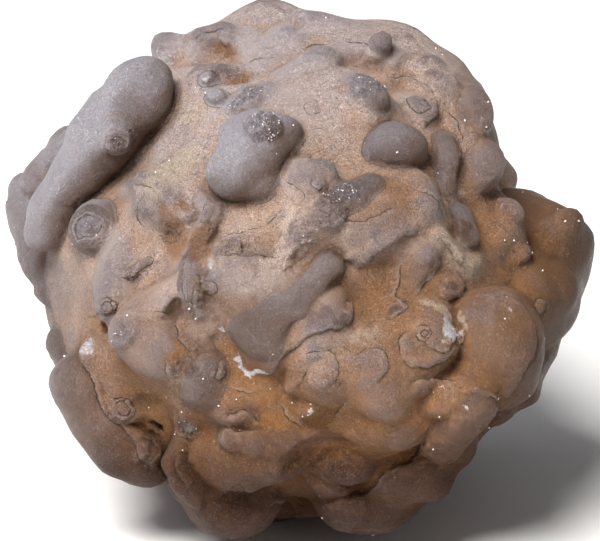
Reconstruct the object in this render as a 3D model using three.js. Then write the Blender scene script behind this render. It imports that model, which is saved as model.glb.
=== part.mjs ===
// A rough chalcedony nodule: one natural piece of waxy quartz with a knobbly, lumpy skin.
// Millimetres, +Z up. The origin is on the small flat that the stone rests on.
// The show face looks towards -Y and a little upwards, and +X is to its right.
import * as THREE from 'three';
import { mergeVertices } from 'three/addons/utils/BufferGeometryUtils.js';

// Driving dimensions.
const MIDDLE_HEIGHT = 40.5;         // the middle of the stone above the surface it rests on
const BODY_HALF = [41, 38, 39.8];   // half width, half depth and half height of the main mass
const FOOT_HALF = [18, 15, 9];      // the worn foot, cut flat by the resting plane
const FOOT_OFFSET = [0, 5, -34];    // the foot from the middle of the stone
const FACE_RISE = 20;               // degrees that the show face looks up
const ARM_LENGTH = 900;             // distance from which across and up are read on the show face
const SLOW_WAVE = 0.7;              // slow wander of the growth lines
const QUICK_WAVE = 0.18;            // quick wander of the growth lines
const LIMB_FILLET = 0.8;            // fillet between neighbouring stretches of one roll
const SPOTS = 260;                  // evenly spread places for nubs, those on the show face left out
const GOLDEN_ANGLE = 2.399963;      // radians

// How finely the stone is worked out.
const CELL = 1;                     // spacing of the cells that hold the distance to the skin
const ROOM_HALF = [54, 50, 50];     // half sizes of the room that the cells fill
const MOST = 4;                     // largest distance that a cell holds
const STRIDE = 0.4;                 // stride of a search for the skin
const FACET_DIVISIONS = 21;         // 20 * (divisions + 1)^2 facets over the stone
const SETTLING_ROUNDS = 40;         // rounds of evening out the facets over the skin
const FLAT_WITHIN = 0.15;           // corners this close to the resting plane lie in it

const MIDDLE = new THREE.Vector3(0, 0, MIDDLE_HEIGHT);
const lookingUp = THREE.MathUtils.degToRad(FACE_RISE);
const RIGHT = new THREE.Vector3(1, 0, 0);
const UP = new THREE.Vector3(0, Math.sin(lookingUp), Math.cos(lookingUp));
const OUT = new THREE.Vector3(0, -Math.cos(lookingUp), Math.sin(lookingUp));
const UPRIGHT = [new THREE.Vector3(1, 0, 0), new THREE.Vector3(0, 1, 0), new THREE.Vector3(0, 0, 1)];

// Growth is never quite round or straight, so every shape is read in gently wandering coordinates.
function wander({ x, y, z }) {
  return new THREE.Vector3(
    x + SLOW_WAVE * Math.sin(0.27 * y + 0.21 * z + 0.7) + QUICK_WAVE * Math.sin(0.71 * z - 0.53 * x + 2.1),
    y + SLOW_WAVE * Math.sin(0.25 * z + 0.23 * x + 2.9) + QUICK_WAVE * Math.sin(0.67 * x - 0.59 * y + 0.3),
    z + SLOW_WAVE * Math.sin(0.29 * x + 0.19 * y + 4.6) + QUICK_WAVE * Math.sin(0.73 * y - 0.61 * z + 5.2),
  );
}

// The room of cells. Each holds its distance to the skin, negative inside the stone.
const low = MIDDLE.clone().sub(new THREE.Vector3(...ROOM_HALF));
const count = ROOM_HALF.map((half) => (2 * half) / CELL + 1);
const held = new Float32Array(count[0] * count[1] * count[2]).fill(MOST);
const cellAt = (i, j, k) => (i * count[1] + j) * count[2] + k;

// Joins a shape to the stone, or takes it away, with a soft fillet. Only the cells near it change.
function work(reach, distanceTo, blend, sign) {
  const first = reach.min.clone().sub(low).divideScalar(CELL).floor().toArray();
  const last = reach.max.clone().sub(low).divideScalar(CELL).ceil().toArray();
  const from = first.map((v) => Math.max(v, 0));
  const to = last.map((v, axis) => Math.min(v, count[axis] - 1));
  const place = new THREE.Vector3();
  for (let i = from[0]; i <= to[0]; i += 1) {
    for (let j = from[1]; j <= to[1]; j += 1) {
      for (let k = from[2]; k <= to[2]; k += 1) {
        place.set(low.x + i * CELL, low.y + j * CELL, low.z + k * CELL);
        const here = sign * held[cellAt(i, j, k)];
        const own = distanceTo(wander(place));
        const near = Math.max(blend - Math.abs(here - own), 0) / blend;
        held[cellAt(i, j, k)] = sign * (Math.min(here, own) - (near * near * blend) / 4);
      }
    }
  }
}

// Distance to the skin at any point, read between the cells.
function field(point) {
  const at = point.clone().sub(low).divideScalar(CELL).toArray();
  const cell = at.map((v, axis) => THREE.MathUtils.clamp(Math.floor(v), 0, count[axis] - 2));
  const part = at.map((v, axis) => THREE.MathUtils.clamp(v - cell[axis], 0, 1));
  let sum = 0;
  for (let corner = 0; corner < 8; corner += 1) {
    const step = [corner & 1, (corner >> 1) & 1, corner >> 2];
    const share = step.reduce((product, s, axis) => product * (s ? part[axis] : 1 - part[axis]), 1);
    sum += share * held[cellAt(cell[0] + step[0], cell[1] + step[1], cell[2] + step[2])];
  }
  return sum;
}

// The way that the skin faces, read over a span of millimetres each way.
function facingAt(point, span) {
  const slope = UPRIGHT.map((axis) => {
    const ahead = field(point.clone().addScaledVector(axis, span));
    return ahead - field(point.clone().addScaledVector(axis, -span));
  });
  return new THREE.Vector3(...slope).normalize();
}

// An ellipsoid with its half sizes along three axes.
function addBlob(centre, axes, half, blend, sign) {
  const seat = wander(centre);
  const distanceTo = (w) => {
    w.sub(seat);
    let k0 = 0;
    let k1 = 0;
    for (let i = 0; i < 3; i += 1) {
      const q = w.dot(axes[i]) / half[i];
      k0 += q * q;
      k1 += (q / half[i]) ** 2;
    }
    return (Math.sqrt(k0) * (Math.sqrt(k0) - 1)) / Math.max(Math.sqrt(k1), 1e-6);
  };
  const reach = new THREE.Box3(centre.clone(), centre.clone());
  reach.expandByScalar(Math.max(...half) + blend + MOST);
  work(reach, distanceTo, blend, sign);
}

// A round-ended limb between two points, thick or thin at either end.
function addLimb(from, startRadius, to, endRadius, blend) {
  const start = wander(from);
  const along = wander(to).sub(start);
  const distanceTo = (w) => {
    w.sub(start);
    const t = THREE.MathUtils.clamp(w.dot(along) / along.lengthSq(), 0, 1);
    return w.addScaledVector(along, -t).length() - (startRadius + t * (endRadius - startRadius));
  };
  const reach = new THREE.Box3().setFromPoints([from, to]);
  reach.expandByScalar(Math.max(startRadius, endRadius) + blend + MOST);
  work(reach, distanceTo, blend, 1);
}

// First point of the skin along a line of places, from one distance inwards to another.
function meet(placeAt, start, end) {
  let last = start;
  let lastField = field(placeAt(start));
  let nearest = { value: lastField, at: start };
  for (let at = start - STRIDE; at > end; at -= STRIDE) {
    const value = field(placeAt(at));
    if (value <= 0) {
      const point = placeAt(last + ((at - last) * lastField) / (lastField - value));
      return { point, normal: facingAt(point, 1.5) };
    }
    if (value < nearest.value) nearest = { value, at };
    last = at;
    lastField = value;
  }
  const beside = placeAt(nearest.at);
  const normal = facingAt(beside, 1.5);
  return { point: beside.addScaledVector(normal, -nearest.value), normal };
}

// A place on the show face, by millimetres across and up as read from arm's length.
// What is lifted off the skin there still reads at the same across and up.
const onFace = (across, up) => (lift) => {
  let a = across;
  let b = up;
  let seat;
  for (let pass = 0; pass < 5; pass += 1) {
    const side = RIGHT.clone().multiplyScalar(a).addScaledVector(UP, b);
    const beside = (out) => MIDDLE.clone().addScaledVector(side, 1 - out / ARM_LENGTH);
    const placeAt = (out) => beside(out).addScaledVector(OUT, out);
    seat = meet(placeAt, 58, -58);
    if (lift === 0) break;
    const raised = seat.point.clone().addScaledVector(seat.normal, lift).sub(MIDDLE);
    const near = 1 / (1 - raised.dot(OUT) / ARM_LENGTH);
    a += (across - raised.dot(RIGHT) * near) * 0.8;
    b += (up - raised.dot(UP) * near) * 0.8;
  }
  return seat;
};

// A place anywhere on the stone, by degrees round from the front (90 is the right side) and degrees up.
const around = (azimuth, elevation) => () => {
  const turn = THREE.MathUtils.degToRad(azimuth);
  const lift = THREE.MathUtils.degToRad(elevation);
  const level = Math.cos(lift);
  const way = new THREE.Vector3(Math.sin(turn) * level, -Math.cos(turn) * level, Math.sin(lift));
  return meet((out) => MIDDLE.clone().addScaledVector(way, out), 62, 0);
};

// Axes on the skin: two along it, turned by some degrees, and the facing last.
function axesOn(normal, turn) {
  const sideways = Math.abs(normal.x) < 0.8 ? RIGHT : OUT.clone().multiplyScalar(normal.x > 0 ? -1 : 1);
  const u = sideways.clone().addScaledVector(normal, -sideways.dot(normal)).normalize();
  const v = new THREE.Vector3().crossVectors(normal, u);
  const angle = THREE.MathUtils.degToRad(turn);
  const first = u.clone().multiplyScalar(Math.cos(angle)).addScaledVector(v, Math.sin(angle));
  const second = v.clone().multiplyScalar(Math.cos(angle)).addScaledVector(u, -Math.sin(angle));
  return [first, second, normal];
}

// The ball whose cap has this half width and height: its radius, and how far its centre stands off the skin.
function capOf(width, height) {
  const radius = (width * width + height * height) / (2 * height);
  return { radius, standOff: height - radius };
}

// A rounded growth of some half width, standing up by its height.
function lump(place, width, height, { stretch = 1, turn = 0, blend }) {
  const { radius, standOff } = capOf(width, height);
  const { point, normal } = place(Math.max(standOff, height / 2));
  const half = [radius * stretch, radius / stretch, radius];
  addBlob(point.clone().addScaledVector(normal, standOff), axesOn(normal, turn), half, blend, 1);
}

// A rounded hollow, sunk as deep as a lump of the same numbers would stand.
function hollow(place, width, height, { stretch = 1, turn = 0, blend }) {
  const { radius, standOff } = capOf(width, height);
  const { point, normal } = place(0);
  const half = [radius * stretch, radius / stretch, radius];
  addBlob(point.clone().addScaledVector(normal, -standOff), axesOn(normal, turn), half, blend, -1);
}

// A rounded roll along stops, each with its half width and height on the skin.
function roll(blend, stops) {
  const balls = stops.map(([place, width, height]) => {
    const { radius, standOff } = capOf(width, height);
    const { point, normal } = place(Math.max(standOff, height / 2));
    return { centre: point.clone().addScaledVector(normal, standOff), radius };
  });
  for (let i = 1; i < balls.length; i += 1) {
    const a = balls[i - 1];
    const b = balls[i];
    addLimb(a.centre, a.radius, b.centre, b.radius, i === 1 ? blend : LIMB_FILLET);
  }
}

// A roll at the rim of the show face, by stops of across, up, out and radius.
function limb(blend, stops) {
  const centres = stops.map(([across, up, out]) => {
    const near = 1 - out / ARM_LENGTH;
    const side = RIGHT.clone().multiplyScalar(across * near).addScaledVector(UP, up * near);
    return MIDDLE.clone().add(side).addScaledVector(OUT, out);
  });
  for (let i = 1; i < stops.length; i += 1) {
    addLimb(centres[i - 1], stops[i - 1][3], centres[i], stops[i][3], i === 1 ? blend : LIMB_FILLET);
  }
}

// A repeatable number from 0 to 1.
function chance(seed, scale) {
  const value = Math.sin(seed) * scale;
  return value - Math.floor(value);
}

// The main mass and its foot.
addBlob(MIDDLE, UPRIGHT, BODY_HALF, 1, 1);
addBlob(MIDDLE.clone().add(new THREE.Vector3(...FOOT_OFFSET)), UPRIGHT, FOOT_HALF, 3, 1);

// Broad flats that take the roundness out of the main mass.
hollow(onFace(35.4, 22.7), 10.5, 3.2, { stretch: 1.2, turn: 70, blend: 4 });  // dent right
hollow(onFace(-28.9, 14.6), 12, 2.6, { stretch: 1.3, turn: 50, blend: 5 });  // dent left
hollow(around(104, 29), 13, 3.6, { stretch: 1.2, turn: 30, blend: 5 });  // dent far right
hollow(onFace(1.9, -41.8), 5, 2.4, { blend: 3 });  // dent bottom

// Broad swells of the show face: the large forms that the smaller growths sit on.
lump(onFace(-8.8, 39.9), 8.6, 4.2, { stretch: 1.2, blend: 2 });  // crown left
lump(onFace(-15.9, 36.6), 5.6, 2.4, { stretch: 1.2, blend: 1.6 });  // crown left low
lump(onFace(-4.9, 36.6), 4.2, 2.2, { stretch: 1.1, turn: 40, blend: 1.2 });  // crown mid
lump(onFace(8.1, 39.1), 7.8, 4.4, { stretch: 1.25, blend: 1.6 });  // crown right
lump(onFace(21.4, 33.7), 8, 2.2, { stretch: 1.1, turn: -35, blend: 3 });  // shoulder right
lump(onFace(29.5, 26.6), 4.4, 3.8, { stretch: 1.4, turn: 85, blend: 0.8 });  // edge upper right
lump(onFace(30.8, 17), 4.4, 3.4, { stretch: 1.12, turn: 85, blend: 0.8 });  // cheek right
roll(1.5, [  // flank right
  [onFace(37.9, 9.7), 7.4, 5.2],
  [onFace(43.6, 1), 8.8, 7.6],
  [onFace(40.4, -5.8), 7.8, 6.7],
]);
limb(2, [  // belly right
  [30.5, -9.4, 28, 6.2],
  [31.5, -12.5, 26.6, 8],
  [31.5, -15.9, 25, 7],
  [28.9, -17.8, 28, 4.6],
]);
roll(1.5, [  // haunch right
  [onFace(8.8, -39.6), 5.5, 5],
  [onFace(15.2, -38.9), 7.5, 6.4],
  [onFace(20.6, -33.7), 6.5, 5.2],
  [onFace(25, -30), 5.5, 4.2],
]);
roll(1.5, [  // haunch left
  [onFace(-17.2, -35.7), 5, 4.6],
  [onFace(-12, -38.6), 6.5, 5.2],
  [onFace(-7.8, -39.2), 7, 5.8],
]);
lump(onFace(-25.1, -13.3), 6.8, 5.2, { stretch: 1.12, turn: -50, blend: 1.2 });  // dome left
lump(onFace(-23.7, 9.4), 6.6, 3, { stretch: 1.1, turn: 70, blend: 1.6 });  // dome crater
lump(onFace(2.8, 26.8), 7.5, 2.8, { stretch: 1.1, blend: 2.5 });  // dome middle
lump(onFace(10.4, 29.2), 5.5, 2.6, { stretch: 1.1, blend: 2 });  // dome sugar
roll(3, [  // swell middle
  [onFace(-4.9, 5.5), 5, 1],
  [onFace(1, 8.4), 6, 2.2],
  [onFace(10.1, 9.1), 6.5, 3],
  [onFace(19.8, 11.4), 6.5, 3.2],
]);
lump(onFace(4.4, -18.6), 9, 3.4, { stretch: 1.2, blend: 2 });  // swell lower
lump(onFace(16.5, -26.3), 8.6, 4.4, { stretch: 1.15, blend: 1.5 });  // swell lower right
lump(onFace(-8.6, -32.1), 8.5, 4.4, { stretch: 1.15, turn: 20, blend: 1.5 });  // swell lower left
lump(onFace(-17.5, -20.3), 5.5, 3, { stretch: 1.1, turn: 80, blend: 2 });  // swell under
lump(onFace(21.4, -10.5), 6.4, 1.8, { blend: 2 });  // swell eye
lump(onFace(-8.1, -2.9), 7.5, 2, { stretch: 1.2, blend: 1 });  // swell patch
lump(onFace(35.2, 6.8), 5.5, 2.6, { stretch: 1.1, blend: 1 });  // swell flank
lump(onFace(16.2, -32.4), 5.4, 2.6, { stretch: 1.4, turn: -35, blend: 2 });  // lap low
lump(onFace(-30.2, -19.5), 4.2, 1.8, { stretch: 1.5, turn: -60, blend: 2 });  // lap left
lump(onFace(2.3, -30), 5, 2, { stretch: 1.4, blend: 2 });  // lap hollow

// Growths of the right side, the back and the left side.
lump(around(122, -38), 11, 4.6, { stretch: 1.2, turn: 20, blend: 2.5 });  // far haunch
lump(around(130, -2), 12, 3.4, { stretch: 1.2, turn: 70, blend: 3 });  // far flank
lump(around(146, 38), 9, 2.4, { stretch: 1.2, turn: 30, blend: 2.5 });  // far shoulder
roll(0.8, [  // far roll right
  [around(152, 28), 3, 3],
  [around(148, 15), 3.6, 3.8],
  [around(142, 1), 4.2, 4.2],
  [around(130, -12), 3.8, 3.8],
]);
lump(around(152, 12), 4.4, 4, { stretch: 1.1, blend: 0.5 });  // far button
lump(around(128, -22), 5.4, 2.4, { blend: 0.6 });  // far eye
lump(around(172, 28), 12, 4.6, { stretch: 1.15, turn: 40, blend: 3 });  // back dome
lump(around(195, -12), 13, 4.6, { stretch: 1.2, blend: 3 });  // back belly
lump(around(160, -40), 10, 5, { stretch: 1.3, blend: 2 });  // back low
lump(around(195, 50), 8, 2, { blend: 3 });  // back crown
roll(0.7, [  // back roll
  [around(152, 42), 3.4, 3.6],
  [around(158, 32), 4.2, 4.8],
  [around(170, 22), 4.6, 5.6],
  [around(184, 18), 4.2, 5],
  [around(196, 22), 3.4, 3.6],
]);
roll(0.8, [  // back roll low
  [around(150, -8), 3.4, 3.4],
  [around(160, -18), 4, 4.4],
  [around(172, -24), 3.8, 4],
]);
lump(around(205, 8), 5.6, 6, { stretch: 1.15, turn: 50, blend: 0.5 });  // back blob
lump(around(211, 2), 4, 4.6, { stretch: 1.1, blend: 2.5 });  // back blob b
lump(around(180, -6), 5, 2.2, { blend: 0.5 });  // back eye
lump(around(189, 42), 3.2, 3, { blend: 0.5 });  // back nub
hollow(around(168, 4), 4.4, 3.2, { stretch: 1.3, turn: 30, blend: 1.6 });  // back hollow
hollow(around(205, -34), 4, 2.6, { stretch: 1.2, blend: 1.4 });  // back hollow low
lump(around(236, 3), 12, 3.8, { stretch: 1.2, turn: 80, blend: 3 });  // lee flank
lump(around(236, -36), 10, 4.2, { stretch: 1.2, blend: 2 });  // lee low
lump(around(226, 36), 10, 2.4, { stretch: 1.2, blend: 2.5 });  // lee shoulder
roll(0.8, [  // lee roll
  [around(222, 28), 3.2, 3.4],
  [around(230, 18), 4.2, 4.6],
  [around(236, 4), 4.4, 5],
  [around(246, -8), 3.8, 4],
]);
roll(0.8, [  // lee roll low
  [around(222, -20), 3, 3.2],
  [around(232, -28), 3.8, 4.2],
  [around(246, -30), 3.8, 4],
  [around(258, -24), 3.2, 3.2],
]);
lump(around(222, 0), 3.6, 3.4, { stretch: 1.1, blend: 0.5 });  // lee button
lump(around(250, 20), 3, 2.6, { stretch: 1.1, blend: 0.6 });  // lee nub
hollow(around(230, -6), 3.6, 2.6, { stretch: 1.3, turn: 60, blend: 1.4 });  // lee hollow

// Low growths of the crown.
roll(0.9, [  // top roll
  [around(150, 58), 2.6, 1.8],
  [around(175, 62), 3, 2.2],
  [around(215, 63), 3.2, 2.4],
  [around(250, 58), 2.8, 2],
]);
lump(around(90, 70), 5, 1.2, { stretch: 1.2, turn: 30, blend: 1.5 });  // top dome
lump(around(300, 68), 3.8, 1.6, { blend: 0.6 });  // top eye
lump(around(20, 76), 2.4, 1.4, { stretch: 1.1, blend: 0.6 });  // top nub
lump(around(120, 60), 2.8, 1.8, { stretch: 1.1, turn: 40, blend: 0.7 });  // top nub b
lump(around(262, 56), 2.6, 1.6, { stretch: 1.1, turn: 70, blend: 0.7 });  // top nub c
hollow(around(60, 62), 2.8, 1.4, { stretch: 1.5, turn: 60, blend: 1.2 });  // top hollow

// Rolls, blobs and ridges of the show face.
roll(0.8, [  // roll lower left
  [onFace(-36.3, -19.1), 4.4, 5.8],
  [onFace(-33.4, -24.5), 5.4, 6.8],
  [onFace(-29.4, -29.7), 5.6, 7.4],
  [onFace(-26.3, -31.8), 4.8, 6.4],
]);
lump(onFace(-37.5, -17.8), 3.4, 1.6, { stretch: 1.1, turn: 60, blend: 2 });  // roll bulge
limb(2, [  // ear left
  [-37.6, 15.9, -6, 3.6],
  [-41.8, 11.4, -4, 4.8],
  [-42.5, 8.1, -3, 4.8],
  [-40.5, 3.2, -1, 4.6],
]);
roll(0.8, [  // ridge behind
  [onFace(-42.8, 13.9), 2.4, 2.6],
  [onFace(-40.2, 18.2), 2.4, 2.8],
  [onFace(-38.3, 21.4), 2.4, 2.8],
  [onFace(-35.4, 22.7), 1.6, 1.8],
]);
limb(0.6, [  // roll upper left
  [-24.6, 28.5, 21.5, 4.6],
  [-28.9, 25, 20, 4.5],
  [-32.8, 20.1, 18.5, 4.5],
  [-36.2, 15.1, 17, 4.5],
  [-38.9, 10.5, 15.5, 4.4],
  [-40.7, 6.8, 14, 3.9],
]);
limb(0.8, [  // roll skirt
  [-23.7, 26.6, 20, 3.4],
  [-24.2, 24.2, 18.4, 2.3],
]);
limb(1, [  // roll corner
  [-31.9, 23.4, 1, 3.5],
  [-35.2, 20.1, 0, 3.7],
  [-37.8, 17.5, 0, 3.7],
]);
lump(onFace(-27.2, 30.8), 3.4, 1.6, { stretch: 1.2, turn: 40, blend: 2.5 });  // roll shoulder
lump(onFace(-21.7, 35.4), 3.6, 2.8, { stretch: 1.1, blend: 1 });  // nub white
limb(0.5, [  // blob
  [-10.4, 16.7, 35.2, 4.9],
  [-8.4, 19.5, 34.8, 6.3],
]);
limb(2, [  // blob right
  [-6.5, 19.5, 35, 5.4],
  [-3.1, 21.6, 35, 3.7],
]);
limb(2, [  // blob tip
  [-8.1, 17.8, 35.6, 4.6],
  [-6.2, 14.1, 36.6, 2.7],
]);
lump(onFace(-5.8, 24), 2.7, 1.5, { stretch: 1.1, blend: 0.4 });  // blob cap
lump(onFace(17.5, 21.2), 4.5, 4.6, { stretch: 1.16, turn: -8, blend: 0.4 });  // button
roll(0.8, [  // neck right
  [onFace(24, 21.1), 1.9, 1.8],
  [onFace(24.8, 17.4), 2.3, 2],
  [onFace(24.5, 13.6), 2, 1.4],
]);
lump(onFace(-34.2, 7.9), 4.4, 4.2, { stretch: 1.03, blend: 0.5 });  // eye roll
lump(onFace(-29.2, 20.4), 2.4, 1.8, { blend: 0.4 });  // eye roll small
lump(onFace(-13.9, 9.4), 2.2, 2, { stretch: 1.1, turn: 40, blend: 0.5 });  // nub bridge
lump(onFace(4.2, -5.5), 4.6, 2.4, { stretch: 1.1, turn: 40, blend: 0.5 });  // apron right
lump(onFace(-0.3, -8.8), 4.6, 2.2, { stretch: 1.1, turn: 20, blend: 0.6 });  // apron mid
lump(onFace(-6.5, -12.5), 5.4, 2.8, { stretch: 1.1, turn: -20, blend: 0.6 });  // apron left
roll(0.8, [  // finger middle
  [onFace(5.2, 0.6), 2.2, 2.9],
  [onFace(2.4, -1.9), 1.7, 2.2],
  [onFace(-0.6, -4.9), 2.3, 2.2],
  [onFace(-4.2, -7.8), 3.2, 2.6],
  [onFace(-7.8, -10.5), 4.2, 2.8],
]);
roll(0.6, [  // ridge druse
  [onFace(12.3, 14.6), 1.8, 1.4],
  [onFace(8.8, 12.6), 2.3, 2],
  [onFace(4.2, 9.7), 2, 1.6],
]);
roll(1, [  // ridge druse low
  [onFace(4.5, 7.5), 2.6, 1.4],
  [onFace(0.3, 5.2), 2.4, 1.2],
  [onFace(-2.3, 2.6), 2, 1],
]);
roll(1.2, [  // ridge left
  [onFace(-30.2, -9.4), 2, 1.2],
  [onFace(-25.6, -5.8), 2.2, 1.1],
  [onFace(-18.3, -3.2), 2.4, 1.3],
  [onFace(-15.9, 1.3), 2, 1.2],
]);
roll(0.5, [  // ridge rough
  [onFace(-10.5, 26.9), 2, 1.6],
  [onFace(-7.8, 28.5), 2.3, 1.8],
  [onFace(-5.2, 30), 1.7, 1.2],
]);
roll(1.2, [  // ridge crown
  [onFace(-1.6, 32.1), 2.3, 1],
  [onFace(2.3, 34.4), 2.6, 1.2],
  [onFace(6.5, 35.4), 2.4, 1.1],
  [onFace(11.4, 35.7), 2, 0.8],
  [onFace(15.7, 34.1), 2, 0.8],
]);
roll(0.6, [  // worm lower
  [onFace(-19.1, -26.9), 1.9, 1.6],
  [onFace(-20.4, -30.8), 2.1, 2.1],
  [onFace(-19.1, -34.7), 2, 1.9],
  [onFace(-17, -37.5), 1.6, 1.3],
]);
roll(0.8, [  // ridge pale
  [onFace(23, 5.5), 1.4, 0.9],
  [onFace(25.6, 3.2), 1.9, 1.2],
  [onFace(28.5, 1), 1.8, 0.9],
]);
roll(0.6, [  // dark bump
  [onFace(27.1, 9.4), 2, 1.8],
  [onFace(27.9, 6.2), 2.4, 2.6],
]);
roll(1, [  // lobe fan
  [onFace(22.1, 2.6), 2.4, 0.8],
  [onFace(19.1, 0), 2.9, 1.2],
  [onFace(17.2, -3.6), 2, 0.8],
]);
roll(0.8, [  // lobe fan top
  [onFace(13.9, 2.6), 1.6, 0.5],
  [onFace(17.2, 3.6), 2, 0.7],
  [onFace(21.4, 2.9), 2, 0.7],
]);
roll(0.6, [  // sausage right
  [onFace(29.5, -23), 3, 4],
  [onFace(26.3, -25.6), 3.8, 4.8],
  [onFace(24, -28.9), 3.2, 4],
]);
roll(1, [  // crater lip
  [onFace(-28.2, 13.3), 1.8, 1],
  [onFace(-25.6, 14.6), 2, 1.3],
  [onFace(-21.9, 13), 2.2, 1.5],
  [onFace(-19.1, 9.4), 1.8, 1],
]);
lump(onFace(-24.6, 9.4), 2.4, 1.3, { stretch: 1.1, turn: 30, blend: 0.8 });  // crater heart
roll(0.5, [  // chain left
  [onFace(-14.9, 7.5), 1.6, 1.3],
  [onFace(-16.5, 4.2), 1.7, 1.3],
  [onFace(-17.8, 0.3), 1.9, 1.4],
  [onFace(-17.5, -4.2), 1.7, 1.2],
  [onFace(-15.7, -8.4), 1.5, 0.9],
]);
roll(0.8, [  // chain low
  [onFace(-14.9, -9.7), 1.6, 0.9],
  [onFace(-17.5, -12.6), 1.9, 1.1],
  [onFace(-19.8, -15.6), 1.8, 1],
]);
roll(0.8, [  // crown ring
  [onFace(-17.2, 34.7), 1.6, 0.8],
  [onFace(-16.2, 37.8), 1.9, 1],
  [onFace(-12.3, 38.9), 1.9, 0.9],
  [onFace(-8.4, 37.6), 1.7, 0.8],
  [onFace(-7.1, 34.4), 1.6, 0.7],
]);
roll(1, [  // crown fold
  [onFace(-5.8, 33.1), 1.8, 0.8],
  [onFace(-1.6, 35), 2, 1],
  [onFace(-0.3, 37.6), 2.2, 1],
]);
lump(onFace(13.3, 36.6), 2.2, 1.4, { stretch: 1.1, turn: 90, blend: 0.6 });  // knob crown
lump(onFace(-28.1, -22.9), 2.8, 1.2, { stretch: 1.1, blend: 0.6 });  // eye low left
lump(onFace(4.5, 15.9), 3.6, 1.2, { stretch: 1.1, blend: 0.8 });  // swell ring
lump(onFace(-19.8, 22.4), 4.4, 1.3, { stretch: 1.1, turn: 60, blend: 2 });  // swell tan a
lump(onFace(15.2, 9.1), 4.6, 1.5, { stretch: 1.2, turn: 20, blend: 1.2 });  // swell tan b
lump(onFace(20.4, 13.3), 3.6, 1.5, { stretch: 1.1, turn: 80, blend: 1 });  // swell tan c
lump(onFace(-30.2, -0.3), 4.4, 1.4, { stretch: 1.2, turn: 80, blend: 1.5 });  // swell tan d
lump(onFace(12, -22.4), 4.2, 1.4, { stretch: 1.2, turn: -30, blend: 1 });  // swell tan e
lump(onFace(-10.1, -21.4), 4, 1.2, { stretch: 1.1, blend: 1 });  // swell tan f
lump(onFace(25, -18.5), 3.4, 1.4, { stretch: 1.2, blend: 0.8 });  // swell tan g
lump(onFace(23, 30.2), 3.2, 1.4, { stretch: 1.2, turn: -40, blend: 1 });  // shoulder knob a
lump(onFace(25.6, 23.7), 3, 1.2, { stretch: 1.2, turn: -70, blend: 1 });  // shoulder knob b
lump(onFace(41.8, 6.2), 4, 1.6, { stretch: 1.2, turn: 60, blend: 1 });  // flank fold
lump(onFace(44.4, -1.6), 3.4, 1.6, { stretch: 1.2, turn: 90, blend: 0.8 });  // flank lump
lump(onFace(11, 30.2), 3.2, 2.2, { stretch: 1.15, turn: -20, blend: 0.8 });  // lump rough crown
lump(onFace(19.5, 27.1), 3.6, 1.8, { blend: 0.6 });  // eye crown
lump(onFace(13.8, 37.6), 1.9, 1.8, { blend: 0.6 });  // nub crown right
lump(onFace(19.5, 33.4), 2.4, 1.2, { stretch: 1.3, blend: 0.8 });  // nub crown far
lump(onFace(5.2, 16.9), 2.2, 1.6, { blend: 0.8 });  // nub middle
lump(onFace(2.3, 19.5), 3, 0.9, { stretch: 1.3, blend: 0.4 });  // flat step
lump(onFace(-28.9, -10.4), 2.6, 1.8, { stretch: 1.2, turn: 40, blend: 0.8 });  // nub sparkle
lump(onFace(-34.4, -12.5), 2.2, 1.6, { stretch: 1.2, turn: 60, blend: 0.8 });  // nub white low
lump(onFace(-25.6, 0.8), 2.2, 1.2, { stretch: 1.7, turn: 20, blend: 0.4 });  // plug long
lump(onFace(-10.7, 4.4), 2, 1.5, { blend: 0.5 });  // nub lip
lump(onFace(-14.4, -2.9), 1.9, 0.6, { stretch: 1.1, turn: 60, blend: 0.6 });  // nub patch
lump(onFace(-14.6, -17.5), 3.6, 1.5, { stretch: 1.2, turn: 70, blend: 1 });  // nub grey low
lump(onFace(-18.5, -25), 3, 1.8, { stretch: 1.1, turn: -40, blend: 0.8 });  // nub sugar
lump(onFace(-9.2, -24.5), 3, 1.3, { stretch: 1.3, blend: 0.4 });  // window grey
roll(0.6, [  // window low
  [onFace(-11.4, -27.7), 2, 1.6],
  [onFace(-7.1, -28.7), 1.8, 1.3],
  [onFace(-1, -28.5), 1.6, 0.9],
  [onFace(6.2, -28.2), 1.5, 0.6],
]);
lump(onFace(15.7, -6.3), 2.2, 1.1, { stretch: 1.2, turn: 30, blend: 0.3 });  // lobe flat
lump(onFace(24, -2.8), 3.2, 1.2, { stretch: 1.3, turn: -10, blend: 0.4 });  // lobe flat right
lump(onFace(21.6, -10.7), 5.2, 1.3, { blend: 0.5 });  // eye big
lump(onFace(10.4, -15.9), 4.4, 1.2, { stretch: 1.2, turn: -20, blend: 0.4 });  // eye flat
lump(onFace(1.8, -19.8), 5.3, 2.2, { blend: 0.4 });  // eye crack
roll(0.6, [  // crescent eye
  [onFace(-1.3, -18.5), 1.7, 1],
  [onFace(-0.2, -14.9), 2, 1.1],
  [onFace(3.1, -12.5), 2, 1.1],
  [onFace(7.1, -11.8), 1.6, 0.7],
]);
lump(onFace(2.4, -22.7), 2.6, 1.5, { blend: 0.8 });  // nub glint
lump(onFace(8.8, -32.8), 4.6, 3, { stretch: 1.2, blend: 0.8 });  // lump low mid
lump(onFace(5.2, -35.4), 3.6, 2.4, { stretch: 1.2, turn: -20, blend: 0.8 });  // lump low mid b
limb(0.5, [  // bump edge a
  [-42.5, 1.3, 4, 2.2],
  [-41.8, -0.3, 4, 2],
]);
limb(0.5, [  // bump edge b
  [-40.7, -2.9, 5, 2.3],
  [-39.6, -4.5, 5, 2],
]);
limb(0.4, [  // bump edge c
  [-38.9, -7.3, 5, 1.5],
  [-38.4, -8.3, 5, 1.4],
]);
limb(0.8, [  // bump edge d
  [-37.9, -11.4, 6, 3],
  [-36.6, -13.3, 6, 3],
]);
lump(onFace(34.7, 10.4), 2.4, 1.8, { stretch: 1.1, blend: 0.6 });  // nub flank top
lump(onFace(36, 2.3), 2.8, 1, { stretch: 1.1, turn: 60, blend: 0.6 });  // eye flank
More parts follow.
